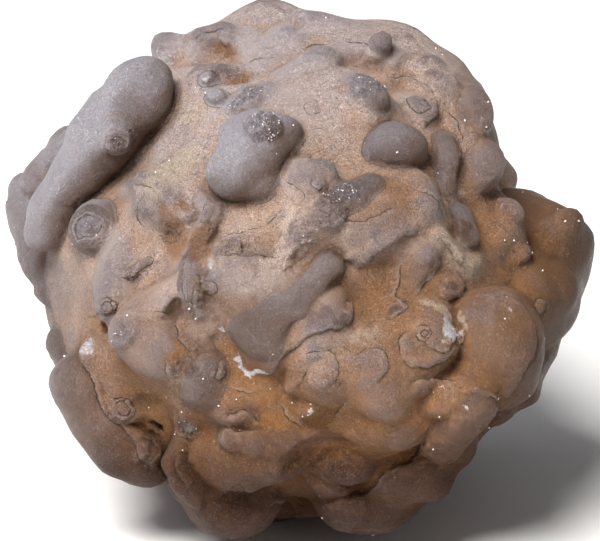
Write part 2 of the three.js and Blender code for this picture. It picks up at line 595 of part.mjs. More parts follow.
limb(1.2, [  // low flank right
  [37.6, -12.3, 11, 4.8],
  [34.7, -17.8, 12, 4.8],
  [31.8, -20.4, 14, 4.4],
]);

// Small nubs and pits all over the sides and back, spread evenly by the golden angle.
for (let i = 0; i < SPOTS; i += 1) {
  const rise = 1 - (2 * (i + 0.5)) / SPOTS;
  const ring = Math.sqrt(1 - rise * rise);
  const way = new THREE.Vector3(ring * Math.cos(i * GOLDEN_ANGLE), ring * Math.sin(i * GOLDEN_ANGLE), rise);
  const facing = way.dot(OUT);
  if (facing > -0.12 || rise < -0.86) continue;
  const rim = Math.min(1, (-facing - 0.1) / 0.35);
  const size = chance(i * 12.9898, 43758.5453);
  const lean = chance(i * 78.233, 12543.123);
  const twist = chance(i * 37.719, 9631.77);
  const straight = THREE.MathUtils.radToDeg(Math.atan2(way.x, -way.y));
  const azimuth = straight + (8 * (lean - 0.5)) / Math.max(ring, 0.3);
  const elevation = THREE.MathUtils.radToDeg(Math.asin(rise)) + 8 * (twist - 0.5);
  const width = 1.6 + 3.2 * size * size * rim;
  if (i % 7 === 3) {
    const round = { stretch: 1 + 0.5 * lean, turn: 180 * twist, blend: 1 };
    hollow(around(azimuth, elevation), width * 0.8, width * 0.5, round);
  } else {
    const round = { stretch: 1 + 0.3 * twist, turn: 180 * lean, blend: 0.4 + 0.8 * twist };
    lump(around(azimuth, elevation), width, width * (0.3 + 0.6 * lean), round);
  }
}

// Hollows and open valleys between the growths.
hollow(onFace(-20.4, 6), 2.6, 1.4, { stretch: 1.1, turn: 20, blend: 1 });  // crater orange
hollow(onFace(0.3, -31.3), 2.8, 1.4, { stretch: 1.3, blend: 1.2 });  // hollow low
hollow(onFace(-12.3, 36), 2.4, 0.8, { stretch: 1.2, blend: 0.8 });  // hollow crown
hollow(onFace(-10.7, 31.1), 2, 1.3, { stretch: 1.4, turn: 10, blend: 0.8 });  // valley crown
hollow(onFace(0, -38.6), 3.8, 3.2, { stretch: 1.2, blend: 1.2 });  // recess under
hollow(onFace(10.1, -4.9), 2.2, 1, { stretch: 1.3, turn: 80, blend: 1.2 });  // valley apron
hollow(onFace(-18.2, 16.5), 2.6, 0.8, { stretch: 1.2, blend: 1.5 });  // valley tan

// The resting plane cuts the foot flat.
for (let i = 0; i < held.length; i += 1) {
  const height = low.z + (i % count[2]) * CELL;
  held[i] = Math.max(held[i], -height);
}

// The skin starts as a ball of even facets, each corner drawn in along its own ray until it meets the stone.
const ball = new THREE.IcosahedronGeometry(1, FACET_DIVISIONS);
ball.deleteAttribute('normal');
ball.deleteAttribute('uv');
const skin = mergeVertices(ball, 1e-5);
const places = skin.getAttribute('position');
const cornerAt = (_, i) => new THREE.Vector3().fromBufferAttribute(places, i);
const corners = Array.from({ length: places.count }, cornerAt);
const beside = corners.map(() => new Set());
const ends = skin.index.array;
for (let i = 0; i < ends.length; i += 3) {
  for (let side = 0; side < 3; side += 1) {
    beside[ends[i + side]].add(ends[i + ((side + 1) % 3)]);
    beside[ends[i + side]].add(ends[i + ((side + 2) % 3)]);
  }
}
for (const corner of corners) {
  const way = corner.clone().normalize();
  corner.copy(meet((out) => MIDDLE.clone().addScaledVector(way, out), 62, 0).point);
}

// The corners then even themselves out over the skin, in and out of its undercuts.
for (let round = 0; round < SETTLING_ROUNDS; round += 1) {
  const evened = corners.map((corner, i) => {
    const middle = new THREE.Vector3();
    for (const neighbour of beside[i]) middle.add(corners[neighbour]);
    middle.divideScalar(beside[i].size);
    return corner.clone().lerp(middle, round < SETTLING_ROUNDS - 3 ? 0.5 : 0.15);
  });
  evened.forEach((corner, i) => {
    for (let pull = 0; pull < 2; pull += 1) {
      corner.addScaledVector(facingAt(corner, 0.5), -field(corner));
    }
    corners[i].copy(corner);
  });
}

// Corners that settled on the resting plane lie exactly in it.
corners.forEach((corner, i) => {
  if (corner.z < FLAT_WITHIN) corner.z = 0;
  places.setXYZ(i, corner.x, corner.y, corner.z);
});
skin.computeVertexNormals();

const chalcedony = new THREE.MeshStandardMaterial({
  color: 0xa88f7a,
  roughness: 0.6,
  metalness: 0,
  flatShading: true,
});
const nodule = new THREE.Mesh(skin, chalcedony);
nodule.name = 'chalcedony_nodule';

const stone = new THREE.Group();
stone.add(nodule);

export default stone;
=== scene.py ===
# A rough chalcedony nodule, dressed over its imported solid. Blender works in metres. The stone's forms are
# worked out in millimetres, as in its solid, and turned to metres once, when the skin becomes a mesh.
import math

import bpy
import numpy as np
import openvdb
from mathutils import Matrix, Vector


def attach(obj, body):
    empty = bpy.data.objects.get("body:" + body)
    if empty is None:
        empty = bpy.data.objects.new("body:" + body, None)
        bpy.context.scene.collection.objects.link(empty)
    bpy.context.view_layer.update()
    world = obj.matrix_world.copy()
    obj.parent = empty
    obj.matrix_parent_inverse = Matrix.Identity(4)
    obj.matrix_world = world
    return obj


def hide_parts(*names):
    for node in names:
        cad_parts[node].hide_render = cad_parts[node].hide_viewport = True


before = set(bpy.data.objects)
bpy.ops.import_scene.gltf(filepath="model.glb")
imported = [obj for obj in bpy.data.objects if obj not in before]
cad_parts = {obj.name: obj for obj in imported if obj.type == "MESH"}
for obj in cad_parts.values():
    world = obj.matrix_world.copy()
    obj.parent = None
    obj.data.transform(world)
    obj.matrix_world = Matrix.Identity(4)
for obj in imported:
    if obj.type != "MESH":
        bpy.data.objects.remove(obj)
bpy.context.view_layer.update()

# ---- The stone --------------------------------------------------------------------------------------------
# Chalcedony, a waxy quartz too fine-grained to show crystals, set from silica gel in a cavity as one nodule.
# It is held here as distances to the skin in a room of small cells, so that growths join with soft fillets.
MM = 0.001
NODE = "chalcedony_nodule"
MIDDLE = np.array([0.0, 0.0, 40.5])
BODY_HALF = (41.0, 38.0, 39.8)
FOOT_HALF = (18.0, 15.0, 9.0)
FOOT_OFFSET = np.array([0.0, 5.0, -34.0])
FACE_RISE = math.radians(20)  # the show face is seen from this far above level
ARM_LENGTH = 900.0
SLOW_WAVE = 0.7
QUICK_WAVE = 0.18
LIMB_FILLET = 0.8
CELL = 0.45
ROOM_HALF = np.array([54.0, 50.0, 50.0])
MOST = 4.0  # distances further from the skin than this aren't kept
STRIDE = 0.4
FACE_START = 58  # where a line of sight starts, out from the middle
FAR_START = 62
FACING_SPAN = 1.5
AIM_ROUNDS = 5
AIM_SHARE = 0.8  # each round closes this much of what is left
RIGHT = np.array([1.0, 0.0, 0.0])
UP = np.array([0.0, math.sin(FACE_RISE), math.cos(FACE_RISE)])
OUT = np.array([0.0, -math.cos(FACE_RISE), math.sin(FACE_RISE)])


def wander(x, y, z):
    """Growth is never quite round or straight, so every shape is read in gently wandering coordinates."""
    return (
        x + SLOW_WAVE * np.sin(0.27 * y + 0.21 * z + 0.7) + QUICK_WAVE * np.sin(0.71 * z - 0.53 * x + 2.1),
        y + SLOW_WAVE * np.sin(0.25 * z + 0.23 * x + 2.9) + QUICK_WAVE * np.sin(0.67 * x - 0.59 * y + 0.3),
        z + SLOW_WAVE * np.sin(0.29 * x + 0.19 * y + 4.6) + QUICK_WAVE * np.sin(0.73 * y - 0.61 * z + 5.2),
    )


low = MIDDLE - ROOM_HALF
lines = [(low[i] + CELL * np.arange(int(2 * ROOM_HALF[i] / CELL) + 1)).astype(np.float32) for i in range(3)]
wandered = wander(*np.meshgrid(*lines, indexing="ij"))
held = np.full(wandered[0].shape, MOST, np.float32)
growths = []


def join(here, own, blend):
    """The nearer of two distances, with a soft fillet where they are alike."""
    fillet = np.maximum(blend - np.abs(here - own), 0) / blend
    return np.minimum(here, own) - fillet * fillet * blend / 4


def work(reach_low, reach_high, distance_to, blend, sign):
    """Joins a shape to the stone, or takes it away, with a soft fillet. Only the cells near it change."""
    first = np.maximum(np.floor((reach_low - low) / CELL).astype(int), 0)
    last = np.minimum(np.ceil((reach_high - low) / CELL).astype(int) + 1, held.shape)
    near = tuple(slice(a, b) for a, b in zip(first, last))
    held[near] = sign * join(sign * held[near], distance_to(*(w[near] for w in wandered)), blend)


def add_ball(centre, axes, half, blend, sign=1, coat=None):
    """A ball drawn out by its half sizes along three axes, and what it is coated with."""
    seat = wander(*centre)

    def distance_to(*at):
        offset = [w - s for w, s in zip(at, seat)]
        k0 = 0
        k1 = 0
        for axis, size in zip(axes, half):
            q = (offset[0] * axis[0] + offset[1] * axis[1] + offset[2] * axis[2]) / size
            k0 = k0 + q * q
            k1 = k1 + (q / size) ** 2
        k0 = np.sqrt(k0)
        return k0 * (k0 - 1) / np.maximum(np.sqrt(k1), 1e-6)

    reach = max(half) + blend + MOST
    work(centre - reach, centre + reach, distance_to, blend, sign)
    growths.append((centre, max(half), distance_to, blend, coat or {}))


def add_limb(start, start_radius, end, end_radius, blend, coat):
    """A round-ended limb between two points, thick or thin at either end."""
    seat = np.array(wander(*start))
    along = np.array(wander(*end)) - seat

    def distance_to(*at):
        x, y, z = (w - s for w, s in zip(at, seat))
        t = np.clip((x * along[0] + y * along[1] + z * along[2]) / (along @ along), 0, 1)
        flat = np.sqrt((x - t * along[0]) ** 2 + (y - t * along[1]) ** 2 + (z - t * along[2]) ** 2)
        return flat - (start_radius + t * (end_radius - start_radius))

    reach = max(start_radius, end_radius) + blend + MOST
    work(np.minimum(start, end) - reach, np.maximum(start, end) + reach, distance_to, blend, 1)
    extent = max(start_radius, end_radius) + np.linalg.norm(end - start) / 2
    growths.append(((start + end) / 2, extent, distance_to, blend, coat))


def field(points):
    """Distance to the skin at any points, read between the cells."""
    at = np.clip((points - low) / CELL, 0, np.array(held.shape) - 1.001)
    cell = at.astype(int)
    part = at - cell
    total = 0
    for corner in range(8):
        step = np.array([corner & 1, corner >> 1 & 1, corner >> 2])
        share = np.prod(np.where(step, part, 1 - part), axis=-1)
        total = total + share * held[tuple(np.moveaxis(cell + step, -1, 0))]
    return total


def facing(points, span):
    """The way that the skin faces at any points, read over a span of millimetres each way."""
    slope = [field(points + axis * span) - field(points - axis * span) for axis in np.eye(3)]
    slope = np.stack(slope, axis=-1)
    return slope / np.maximum(np.linalg.norm(slope, axis=-1, keepdims=True), 1e-9)


def meet(place_at, start, end):
    """First point of the skin along a line of places, and its facing."""
    points = place_at(np.arange(start, end, -STRIDE)[:, None])
    values = field(points)
    inside = np.nonzero(values <= 0)[0]
    if len(inside) and inside[0] > 0:
        i = inside[0]
        part = values[i - 1] / (values[i - 1] - values[i])
        point = points[i - 1] + (points[i] - points[i - 1]) * part
        return point, facing(point, FACING_SPAN)
    i = int(np.argmin(values))
    normal = facing(points[i], FACING_SPAN)
    return points[i] - normal * values[i], normal


def on_face(across, up, lift=0.0):
    """A point of the show face, by millimetres across and up as read from arm's length, and its facing. What
    is lifted off the skin there still reads at the same across and up."""
    a, b = across, up
    for _ in range(AIM_ROUNDS):
        side = RIGHT * a + UP * b
        point, normal = meet(
            lambda out: MIDDLE + side * (1 - out / ARM_LENGTH) + OUT * out, FACE_START, -FACE_START
        )
        if lift == 0:
            break
        raised = point + normal * lift - MIDDLE
        near = 1 / (1 - raised @ OUT / ARM_LENGTH)
        a += (across - raised @ RIGHT * near) * AIM_SHARE
        b += (up - raised @ UP * near) * AIM_SHARE
    return point, normal


def around(azimuth, elevation, lift=0.0):
    """A point anywhere on the stone, by degrees round from the front (90 is the right side) and degrees up.
    A lift doesn't shift it, since it isn't read from one side."""
    turn, rise = math.radians(azimuth), math.radians(elevation)
    flat = math.cos(rise)
    way = np.array([math.sin(turn) * flat, -math.cos(turn) * flat, math.sin(rise)])
    return meet(lambda out: MIDDLE + way * out, FAR_START, 0)


def axes_on(normal, turn):
    """Axes on the skin: two along it, turned by some degrees, and the facing last."""
    sideways = RIGHT if abs(normal[0]) < 0.8 else OUT * (-1 if normal[0] > 0 else 1)
    u = sideways - normal * (sideways @ normal)
    u = u / np.linalg.norm(u)
    v = np.cross(normal, u)
    c, s = math.cos(math.radians(turn)), math.sin(math.radians(turn))
    return np.array([u * c + v * s, v * c - u * s, normal])


def cap_of(width, height):
    """The ball whose cap has this half width and height: its radius, and how far its centre stands off."""
    radius = (width * width + height * height) / (2 * height)
    return radius, height - radius


def lump(a, b, width, height, stretch=1.0, turn=0.0, blend=0.6, by=on_face, **coat):
    """A rounded growth of some half width, standing up by its height. Its place is two numbers: across and up
    the show face or, by=around, degrees round and degrees up."""
    radius, stand_off = cap_of(width, height)
    point, normal = by(a, b, max(stand_off, height / 2))
    half = (radius * stretch, radius / stretch, radius)
    add_ball(point + normal * stand_off, axes_on(normal, turn), half, blend, 1, coat)


def hollow(a, b, width, height, stretch=1.0, turn=0.0, blend=0.6, by=on_face):
    """A rounded hollow, sunk as deep as a lump of the same numbers would stand."""
    radius, stand_off = cap_of(width, height)
    point, normal = by(a, b)
    half = (radius * stretch, radius / stretch, radius)
    add_ball(point - normal * stand_off, axes_on(normal, turn), half, blend, -1)


def add_chain(balls, blend, coat):
    """Limbs from ball to ball. Only the first is blended widely."""
    for i in range(1, len(balls)):
        add_limb(*balls[i - 1], *balls[i], blend if i == 1 else LIMB_FILLET, coat)


def roll(blend, stops, by=on_face, **coat):
    """A rounded roll along stops, each a place with the roll's half width and height there."""
    balls = []
    for a, b, width, height in stops:
        radius, stand_off = cap_of(width, height)
        point, normal = by(a, b, max(stand_off, height / 2))
        balls.append((point + normal * stand_off, radius))
    add_chain(balls, blend, coat)


def limb(blend, stops, **coat):
    """A roll of the show face that stands clear of the skin, by stops of across, up, out and radius."""
    balls = []
    for across, up, out, radius in stops:
        side = (RIGHT * across + UP * up) * (1 - out / ARM_LENGTH)
        balls.append((MIDDLE + side + OUT * out, radius))
    add_chain(balls, blend, coat)


GOLDEN_ANGLE = 2.399963  # turned by this each time, ways never line up
SIZE_SEED = (12.9898, 43758.5453)
LEAN_SEED = (78.233, 12543.123)
TWIST_SEED = (37.719, 9631.77)


def spread(count, start):
    """Ways spread evenly all round. Each is its number, its rise, the width of its level ring, its degrees
    round from the front, and how far it points to the front."""
    for i in range(count):
        rise = 1 - 2 * (i + 0.5) / count
        flat = math.sqrt(1 - rise * rise)
        turn = i * GOLDEN_ANGLE + start
        way = np.array([flat * math.cos(turn), flat * math.sin(turn), rise])
        yield i, rise, flat, math.degrees(math.atan2(way[0], -way[1])), way @ OUT


def chance(i, seed, start=0):
    """A number between 0 and 1 that follows no pattern, and is the same each time."""
    return math.sin(i * seed[0] + start) * seed[1] % 1


# The main mass and its foot.
add_ball(MIDDLE, np.eye(3), BODY_HALF, 1)
add_ball(MIDDLE + FOOT_OFFSET, np.eye(3), FOOT_HALF, 3)

# Broad flats that take the roundness out of the main mass.
hollow(35.4, 22.7, 10.5, 3.2, stretch=1.2, turn=70, blend=4)  # dent right
hollow(-28.9, 14.6, 12, 2.6, stretch=1.3, turn=50, blend=5)  # dent left
hollow(104, 29, 13, 3.6, stretch=1.2, turn=30, blend=5, by=around)  # dent far right
hollow(1.9, -41.8, 5, 2.4, blend=3)  # dent bottom

# Broad swells of the show face: the large forms that the smaller growths sit on.
lump(-8.8, 39.9, 8.6, 4.2, stretch=1.2, blend=2)  # crown left
lump(-15.9, 36.6, 5.6, 2.4, stretch=1.2, blend=1.6)  # crown left low
lump(-4.9, 36.6, 4.2, 2.2, stretch=1.1, turn=40, blend=1.2, grey=0.55)  # crown mid
lump(8.1, 39.1, 7.8, 4.4, stretch=1.25, blend=1.6, grey=0.45)  # crown right
lump(21.4, 33.7, 8, 2.2, stretch=1.1, turn=-35, blend=3, grey=0.5)  # shoulder right
lump(29.5, 26.6, 4.4, 3.8, stretch=1.4, turn=85, blend=0.8, grey=0.7)  # edge upper right
lump(30.8, 17, 4.4, 3.4, stretch=1.12, turn=85, blend=0.8, grey=0.7)  # cheek right
roll(1.5, [  # flank right
    (37.9, 9.7, 7.4, 5.2), (43.6, 1, 8.8, 7.6), (40.4, -5.8, 7.8, 6.7),
], grey=0.4, brown=0.25)
limb(2, [  # belly right
    (30.5, -9.4, 28, 6.2), (31.5, -12.5, 26.6, 8), (31.5, -15.9, 25, 7), (28.9, -17.8, 28, 4.6),
], grey=0.5)
roll(1.5, [  # haunch right
    (8.8, -39.6, 5.5, 5), (15.2, -38.9, 7.5, 6.4), (20.6, -33.7, 6.5, 5.2), (25, -30, 5.5, 4.2),
], brown=0.8)
roll(1.5, [(-17.2, -35.7, 5, 4.6), (-12, -38.6, 6.5, 5.2), (-7.8, -39.2, 7, 5.8)], brown=0.8)  # haunch left
lump(-25.1, -13.3, 6.8, 5.2, stretch=1.12, turn=-50, blend=1.2, grey=0.5)  # dome left
lump(-23.7, 9.4, 6.6, 3, stretch=1.1, turn=70, blend=1.6)  # dome crater
lump(2.8, 26.8, 7.5, 2.8, stretch=1.1, blend=2.5, grey=0.25)  # dome middle
lump(10.4, 29.2, 5.5, 2.6, stretch=1.1, blend=2)  # dome sugar
roll(3, [(-4.9, 5.5, 5, 1), (1, 8.4, 6, 2.2), (10.1, 9.1, 6.5, 3), (19.8, 11.4, 6.5, 3.2)])  # swell middle
lump(4.4, -18.6, 9, 3.4, stretch=1.2, blend=2)  # swell lower
lump(16.5, -26.3, 8.6, 4.4, stretch=1.15, blend=1.5)  # swell lower right
lump(-8.6, -32.1, 8.5, 4.4, stretch=1.15, turn=20, blend=1.5)  # swell lower left
lump(-17.5, -20.3, 5.5, 3, stretch=1.1, turn=80, blend=2)  # swell under
lump(21.4, -10.5, 6.4, 1.8, blend=2)  # swell eye
lump(-8.1, -2.9, 7.5, 2, stretch=1.2, blend=1, grey=0.7)  # swell patch
lump(35.2, 6.8, 5.5, 2.6, stretch=1.1, blend=1)  # swell flank
lump(16.2, -32.4, 5.4, 2.6, stretch=1.4, turn=-35, blend=2)  # lap low
lump(-30.2, -19.5, 4.2, 1.8, stretch=1.5, turn=-60, blend=2)  # lap left
lump(2.3, -30, 5, 2, stretch=1.4, blend=2)  # lap hollow

# Growths of the right side, the back and the left side.
lump(122, -38, 11, 4.6, stretch=1.2, turn=20, blend=2.5, by=around, brown=0.6)  # far haunch
lump(130, -2, 12, 3.4, stretch=1.2, turn=70, blend=3, by=around)  # far flank
lump(146, 38, 9, 2.4, stretch=1.2, turn=30, blend=2.5, by=around)  # far shoulder
roll(0.8, [  # far roll right
    (152, 28, 3, 3), (148, 15, 3.6, 3.8), (142, 1, 4.2, 4.2), (130, -12, 3.8, 3.8),
], by=around, grey=0.9)
lump(152, 12, 4.4, 4, stretch=1.1, blend=0.5, by=around, grey=1)  # far button
lump(128, -22, 5.4, 2.4, by=around)  # far eye
lump(172, 28, 12, 4.6, stretch=1.15, turn=40, blend=3, by=around)  # back dome
lump(195, -12, 13, 4.6, stretch=1.2, blend=3, by=around)  # back belly
lump(160, -40, 10, 5, stretch=1.3, blend=2, by=around, brown=0.6)  # back low
lump(195, 50, 8, 2, blend=3, by=around)  # back crown
roll(0.7, [  # back roll
    (152, 42, 3.4, 3.6), (158, 32, 4.2, 4.8), (170, 22, 4.6, 5.6), (184, 18, 4.2, 5), (196, 22, 3.4, 3.6),
], by=around, grey=0.9)
roll(0.8, [(150, -8, 3.4, 3.4), (160, -18, 4, 4.4), (172, -24, 3.8, 4)], by=around, grey=0.8)  # back roll low
lump(205, 8, 5.6, 6, stretch=1.15, turn=50, blend=0.5, by=around, grey=1)  # back blob
lump(211, 2, 4, 4.6, stretch=1.1, blend=2.5, by=around, grey=1)  # back blob b
lump(180, -6, 5, 2.2, blend=0.5, by=around)  # back eye
lump(189, 42, 3.2, 3, blend=0.5, by=around, grey=0.8)  # back nub
hollow(168, 4, 4.4, 3.2, stretch=1.3, turn=30, blend=1.6, by=around)  # back hollow
hollow(205, -34, 4, 2.6, stretch=1.2, blend=1.4, by=around)  # back hollow low
lump(236, 3, 12, 3.8, stretch=1.2, turn=80, blend=3, by=around)  # lee flank
lump(236, -36, 10, 4.2, stretch=1.2, blend=2, by=around, brown=0.6)  # lee low
lump(226, 36, 10, 2.4, stretch=1.2, blend=2.5, by=around)  # lee shoulder
roll(0.8, [  # lee roll
    (222, 28, 3.2, 3.4), (230, 18, 4.2, 4.6), (236, 4, 4.4, 5), (246, -8, 3.8, 4),
], by=around, grey=0.9)
roll(0.8, [  # lee roll low
    (222, -20, 3, 3.2), (232, -28, 3.8, 4.2), (246, -30, 3.8, 4), (258, -24, 3.2, 3.2),
], by=around, grey=0.8)
lump(222, 0, 3.6, 3.4, stretch=1.1, blend=0.5, by=around, grey=1)  # lee button
lump(250, 20, 3, 2.6, stretch=1.1, by=around, grey=0.8)  # lee nub
hollow(230, -6, 3.6, 2.6, stretch=1.3, turn=60, blend=1.4, by=around)  # lee hollow

# Low growths of the crown.
roll(0.9, [  # top roll
    (150, 58, 2.6, 1.8), (175, 62, 3, 2.2), (215, 63, 3.2, 2.4), (250, 58, 2.8, 2),
], by=around, grey=0.6)
lump(90, 70, 5, 1.2, stretch=1.2, turn=30, blend=1.5, by=around)  # top dome
lump(300, 68, 3.8, 1.6, by=around)  # top eye
lump(20, 76, 2.4, 1.4, stretch=1.1, by=around, grey=0.8)  # top nub
lump(120, 60, 2.8, 1.8, stretch=1.1, turn=40, blend=0.7, by=around, grey=0.6)  # top nub b
lump(262, 56, 2.6, 1.6, stretch=1.1, turn=70, blend=0.7, by=around, grey=0.8)  # top nub c
lump(200, 64, 1.8, 1.4, blend=0.5, by=around, grey=0.8)  # top nub d
hollow(60, 62, 2.8, 1.4, stretch=1.5, turn=60, blend=1.2, by=around)  # top hollow

# Rolls, blobs and ridges of the show face.
roll(0.8, [  # roll lower left
    (-36.3, -19.1, 4.4, 5.8), (-33.4, -24.5, 5.4, 6.8), (-29.4, -29.7, 5.6, 7.4), (-26.3, -31.8, 4.8, 6.4),
], grey=0.8, brown=0.3)
lump(-37.5, -17.8, 3.4, 1.6, stretch=1.1, turn=60, blend=2, grey=0.8, brown=0.3)  # roll bulge
limb(2, [  # ear left
    (-37.6, 15.9, -6, 3.6), (-41.8, 11.4, -4, 4.8), (-42.5, 8.1, -3, 4.8), (-40.5, 3.2, -1, 4.6),
], grey=1)
roll(0.8, [  # ridge behind
    (-42.8, 13.9, 2.4, 2.6), (-40.2, 18.2, 2.4, 2.8), (-38.3, 21.4, 2.4, 2.8), (-35.4, 22.7, 1.6, 1.8),
], grey=0.5)
limb(0.6, [  # roll upper left
    (-24.6, 28.5, 21.5, 4.6), (-28.9, 25, 20, 4.5), (-32.8, 20.1, 18.5, 4.5), (-36.2, 15.1, 17, 4.5),
    (-38.9, 10.5, 15.5, 4.4), (-40.7, 6.8, 14, 3.9),
], grey=1)
limb(0.8, [(-23.7, 26.6, 20, 3.4), (-24.2, 24.2, 18.4, 2.3)], grey=1)  # roll skirt
limb(1, [(-31.9, 23.4, 1, 3.5), (-35.2, 20.1, 0, 3.7), (-37.8, 17.5, 0, 3.7)], grey=1)  # roll corner
lump(-27.2, 30.8, 3.4, 1.6, stretch=1.2, turn=40, blend=2.5, grey=1)  # roll shoulder
lump(-21.7, 35.4, 3.6, 2.8, stretch=1.1, blend=1, grey=0.5)  # nub white
limb(0.5, [(-10.4, 16.7, 35.2, 4.9), (-8.4, 19.5, 34.8, 6.3)], grey=1)  # blob
limb(2, [(-6.5, 19.5, 35, 5.4), (-3.1, 21.6, 35, 3.7)], grey=1)  # blob right
limb(2, [(-8.1, 17.8, 35.6, 4.6), (-6.2, 14.1, 36.6, 2.7)], grey=1)  # blob tip
lump(-5.8, 24, 2.7, 1.5, stretch=1.1, blend=0.4, grey=1)  # blob cap
lump(17.5, 21.2, 4.5, 4.6, stretch=1.16, turn=-8, blend=0.4, grey=1)  # button
roll(0.8, [(24, 21.1, 1.9, 1.8), (24.8, 17.4, 2.3, 2), (24.5, 13.6, 2, 1.4)], grey=0.9)  # neck right
lump(-34.2, 7.9, 4.4, 4.2, stretch=1.03, blend=0.5, grey=0.9)  # eye roll
lump(-29.2, 20.4, 2.4, 1.8, blend=0.4, grey=0.7)  # eye roll small
lump(-13.9, 9.4, 2.2, 2, stretch=1.1, turn=40, blend=0.5, grey=0.8)  # nub bridge
lump(-15.2, 11.4, 1.6, 1.2, stretch=1.1, turn=40, blend=0.5, grey=0.8)  # nub bridge b
lump(-13.5, 28.4, 1.6, 1.7, blend=0.4, grey=1)  # nub top
lump(-14.8, 31, 1.2, 0.9, stretch=1.2, blend=0.5, grey=1)  # nub top left
lump(4.2, -5.5, 4.6, 2.4, stretch=1.1, turn=40, blend=0.5, grey=0.35)  # apron right
lump(-0.3, -8.8, 4.6, 2.2, stretch=1.1, turn=20, grey=0.35)  # apron mid
lump(-6.5, -12.5, 5.4, 2.8, stretch=1.1, turn=-20, grey=0.35)  # apron left
roll(0.8, [  # finger middle
    (5.2, 0.6, 2.2, 2.9), (2.4, -1.9, 1.7, 2.2), (-0.6, -4.9, 2.3, 2.2), (-4.2, -7.8, 3.2, 2.6),
    (-7.8, -10.5, 4.2, 2.8),
], grey=0.9)
roll(0.6, [(12.3, 14.6, 1.8, 1.4), (8.8, 12.6, 2.3, 2), (4.2, 9.7, 2, 1.6)], grey=0.9)  # ridge druse
roll(1, [(4.5, 7.5, 2.6, 1.4), (0.3, 5.2, 2.4, 1.2), (-2.3, 2.6, 2, 1)])  # ridge druse low
roll(1.2, [  # ridge left
    (-30.2, -9.4, 2, 1.2), (-25.6, -5.8, 2.2, 1.1), (-18.3, -3.2, 2.4, 1.3), (-15.9, 1.3, 2, 1.2),
], grey=0.3)
roll(0.5, [(-10.5, 26.9, 2, 1.6), (-7.8, 28.5, 2.3, 1.8), (-5.2, 30, 1.7, 1.2)], grey=0.8)  # ridge rough
roll(1.2, [  # ridge crown
    (-1.6, 32.1, 2.3, 1), (2.3, 34.4, 2.6, 1.2), (6.5, 35.4, 2.4, 1.1), (11.4, 35.7, 2, 0.8),
    (15.7, 34.1, 2, 0.8),
], grey=0.55)
roll(0.6, [  # worm lower
    (-19.1, -26.9, 1.9, 1.6), (-20.4, -30.8, 2.1, 2.1), (-19.1, -34.7, 2, 1.9), (-17, -37.5, 1.6, 1.3),
], grey=0.7)
roll(0.8, [(23, 5.5, 1.4, 0.9), (25.6, 3.2, 1.9, 1.2), (28.5, 1, 1.8, 0.9)], cream=0.6)  # ridge pale
roll(0.6, [(27.1, 9.4, 2, 1.8), (27.9, 6.2, 2.4, 2.6)], grey=1)  # dark bump
roll(1, [(22.1, 2.6, 2.4, 0.8), (19.1, 0, 2.9, 1.2), (17.2, -3.6, 2, 0.8)], grey=0.45)  # lobe fan
roll(0.8, [(13.9, 2.6, 1.6, 0.5), (17.2, 3.6, 2, 0.7), (21.4, 2.9, 2, 0.7)], grey=0.45)  # lobe fan top
roll(0.4, [(19.8, -18.8, 1.4, 1.2), (23, -19, 1.6, 1.5), (26.3, -20.4, 1.6, 1.4)], grey=0.6)  # lobe low right
roll(0.6, [(29.5, -23, 3, 4), (26.3, -25.6, 3.8, 4.8), (24, -28.9, 3.2, 4)], grey=0.8)  # sausage right
roll(1, [  # crater lip
    (-28.2, 13.3, 1.8, 1), (-25.6, 14.6, 2, 1.3), (-21.9, 13, 2.2, 1.5), (-19.1, 9.4, 1.8, 1),
])
lump(-24.6, 9.4, 2.4, 1.3, stretch=1.1, turn=30, blend=0.8)  # crater heart
roll(0.5, [  # chain left
    (-14.9, 7.5, 1.6, 1.3), (-16.5, 4.2, 1.7, 1.3), (-17.8, 0.3, 1.9, 1.4), (-17.5, -4.2, 1.7, 1.2),
    (-15.7, -8.4, 1.5, 0.9),
], grey=0.55)
roll(0.8, [(-14.9, -9.7, 1.6, 0.9), (-17.5, -12.6, 1.9, 1.1), (-19.8, -15.6, 1.8, 1)], grey=0.55)  # chain low
roll(0.8, [  # crown ring
    (-17.2, 34.7, 1.6, 0.8), (-16.2, 37.8, 1.9, 1), (-12.3, 38.9, 1.9, 0.9), (-8.4, 37.6, 1.7, 0.8),
    (-7.1, 34.4, 1.6, 0.7),
], grey=0.3)
roll(1, [(-5.8, 33.1, 1.8, 0.8), (-1.6, 35, 2, 1), (-0.3, 37.6, 2.2, 1)], grey=0.55)  # crown fold
lump(13.3, 36.6, 2.2, 1.4, stretch=1.1, turn=90, grey=0.3)  # knob crown
lump(-28.1, -22.9, 2.8, 1.2, stretch=1.1, grey=0.35)  # eye low left
lump(4.5, 15.9, 3.6, 1.2, stretch=1.1, blend=0.8, grey=0.55)  # swell ring
lump(-19.8, 22.4, 4.4, 1.3, stretch=1.1, turn=60, blend=2)  # swell tan a
lump(15.2, 9.1, 4.6, 1.5, stretch=1.2, turn=20, blend=1.2)  # swell tan b
lump(20.4, 13.3, 3.6, 1.5, stretch=1.1, turn=80, blend=1)  # swell tan c
lump(-30.2, -0.3, 4.4, 1.4, stretch=1.2, turn=80, blend=1.5, grey=0.8)  # swell tan d
lump(12, -22.4, 4.2, 1.4, stretch=1.2, turn=-30, blend=1)  # swell tan e
lump(-10.1, -21.4, 4, 1.2, stretch=1.1, blend=1)  # swell tan f
lump(25, -18.5, 3.4, 1.4, stretch=1.2, blend=0.8)  # swell tan g
lump(23, 30.2, 3.2, 1.4, stretch=1.2, turn=-40, blend=1)  # shoulder knob a
lump(25.6, 23.7, 3, 1.2, stretch=1.2, turn=-70, blend=1)  # shoulder knob b
lump(41.8, 6.2, 4, 1.6, stretch=1.2, turn=60, blend=1)  # flank fold
lump(44.4, -1.6, 3.4, 1.6, stretch=1.2, turn=90, blend=0.8, grey=0.35)  # flank lump
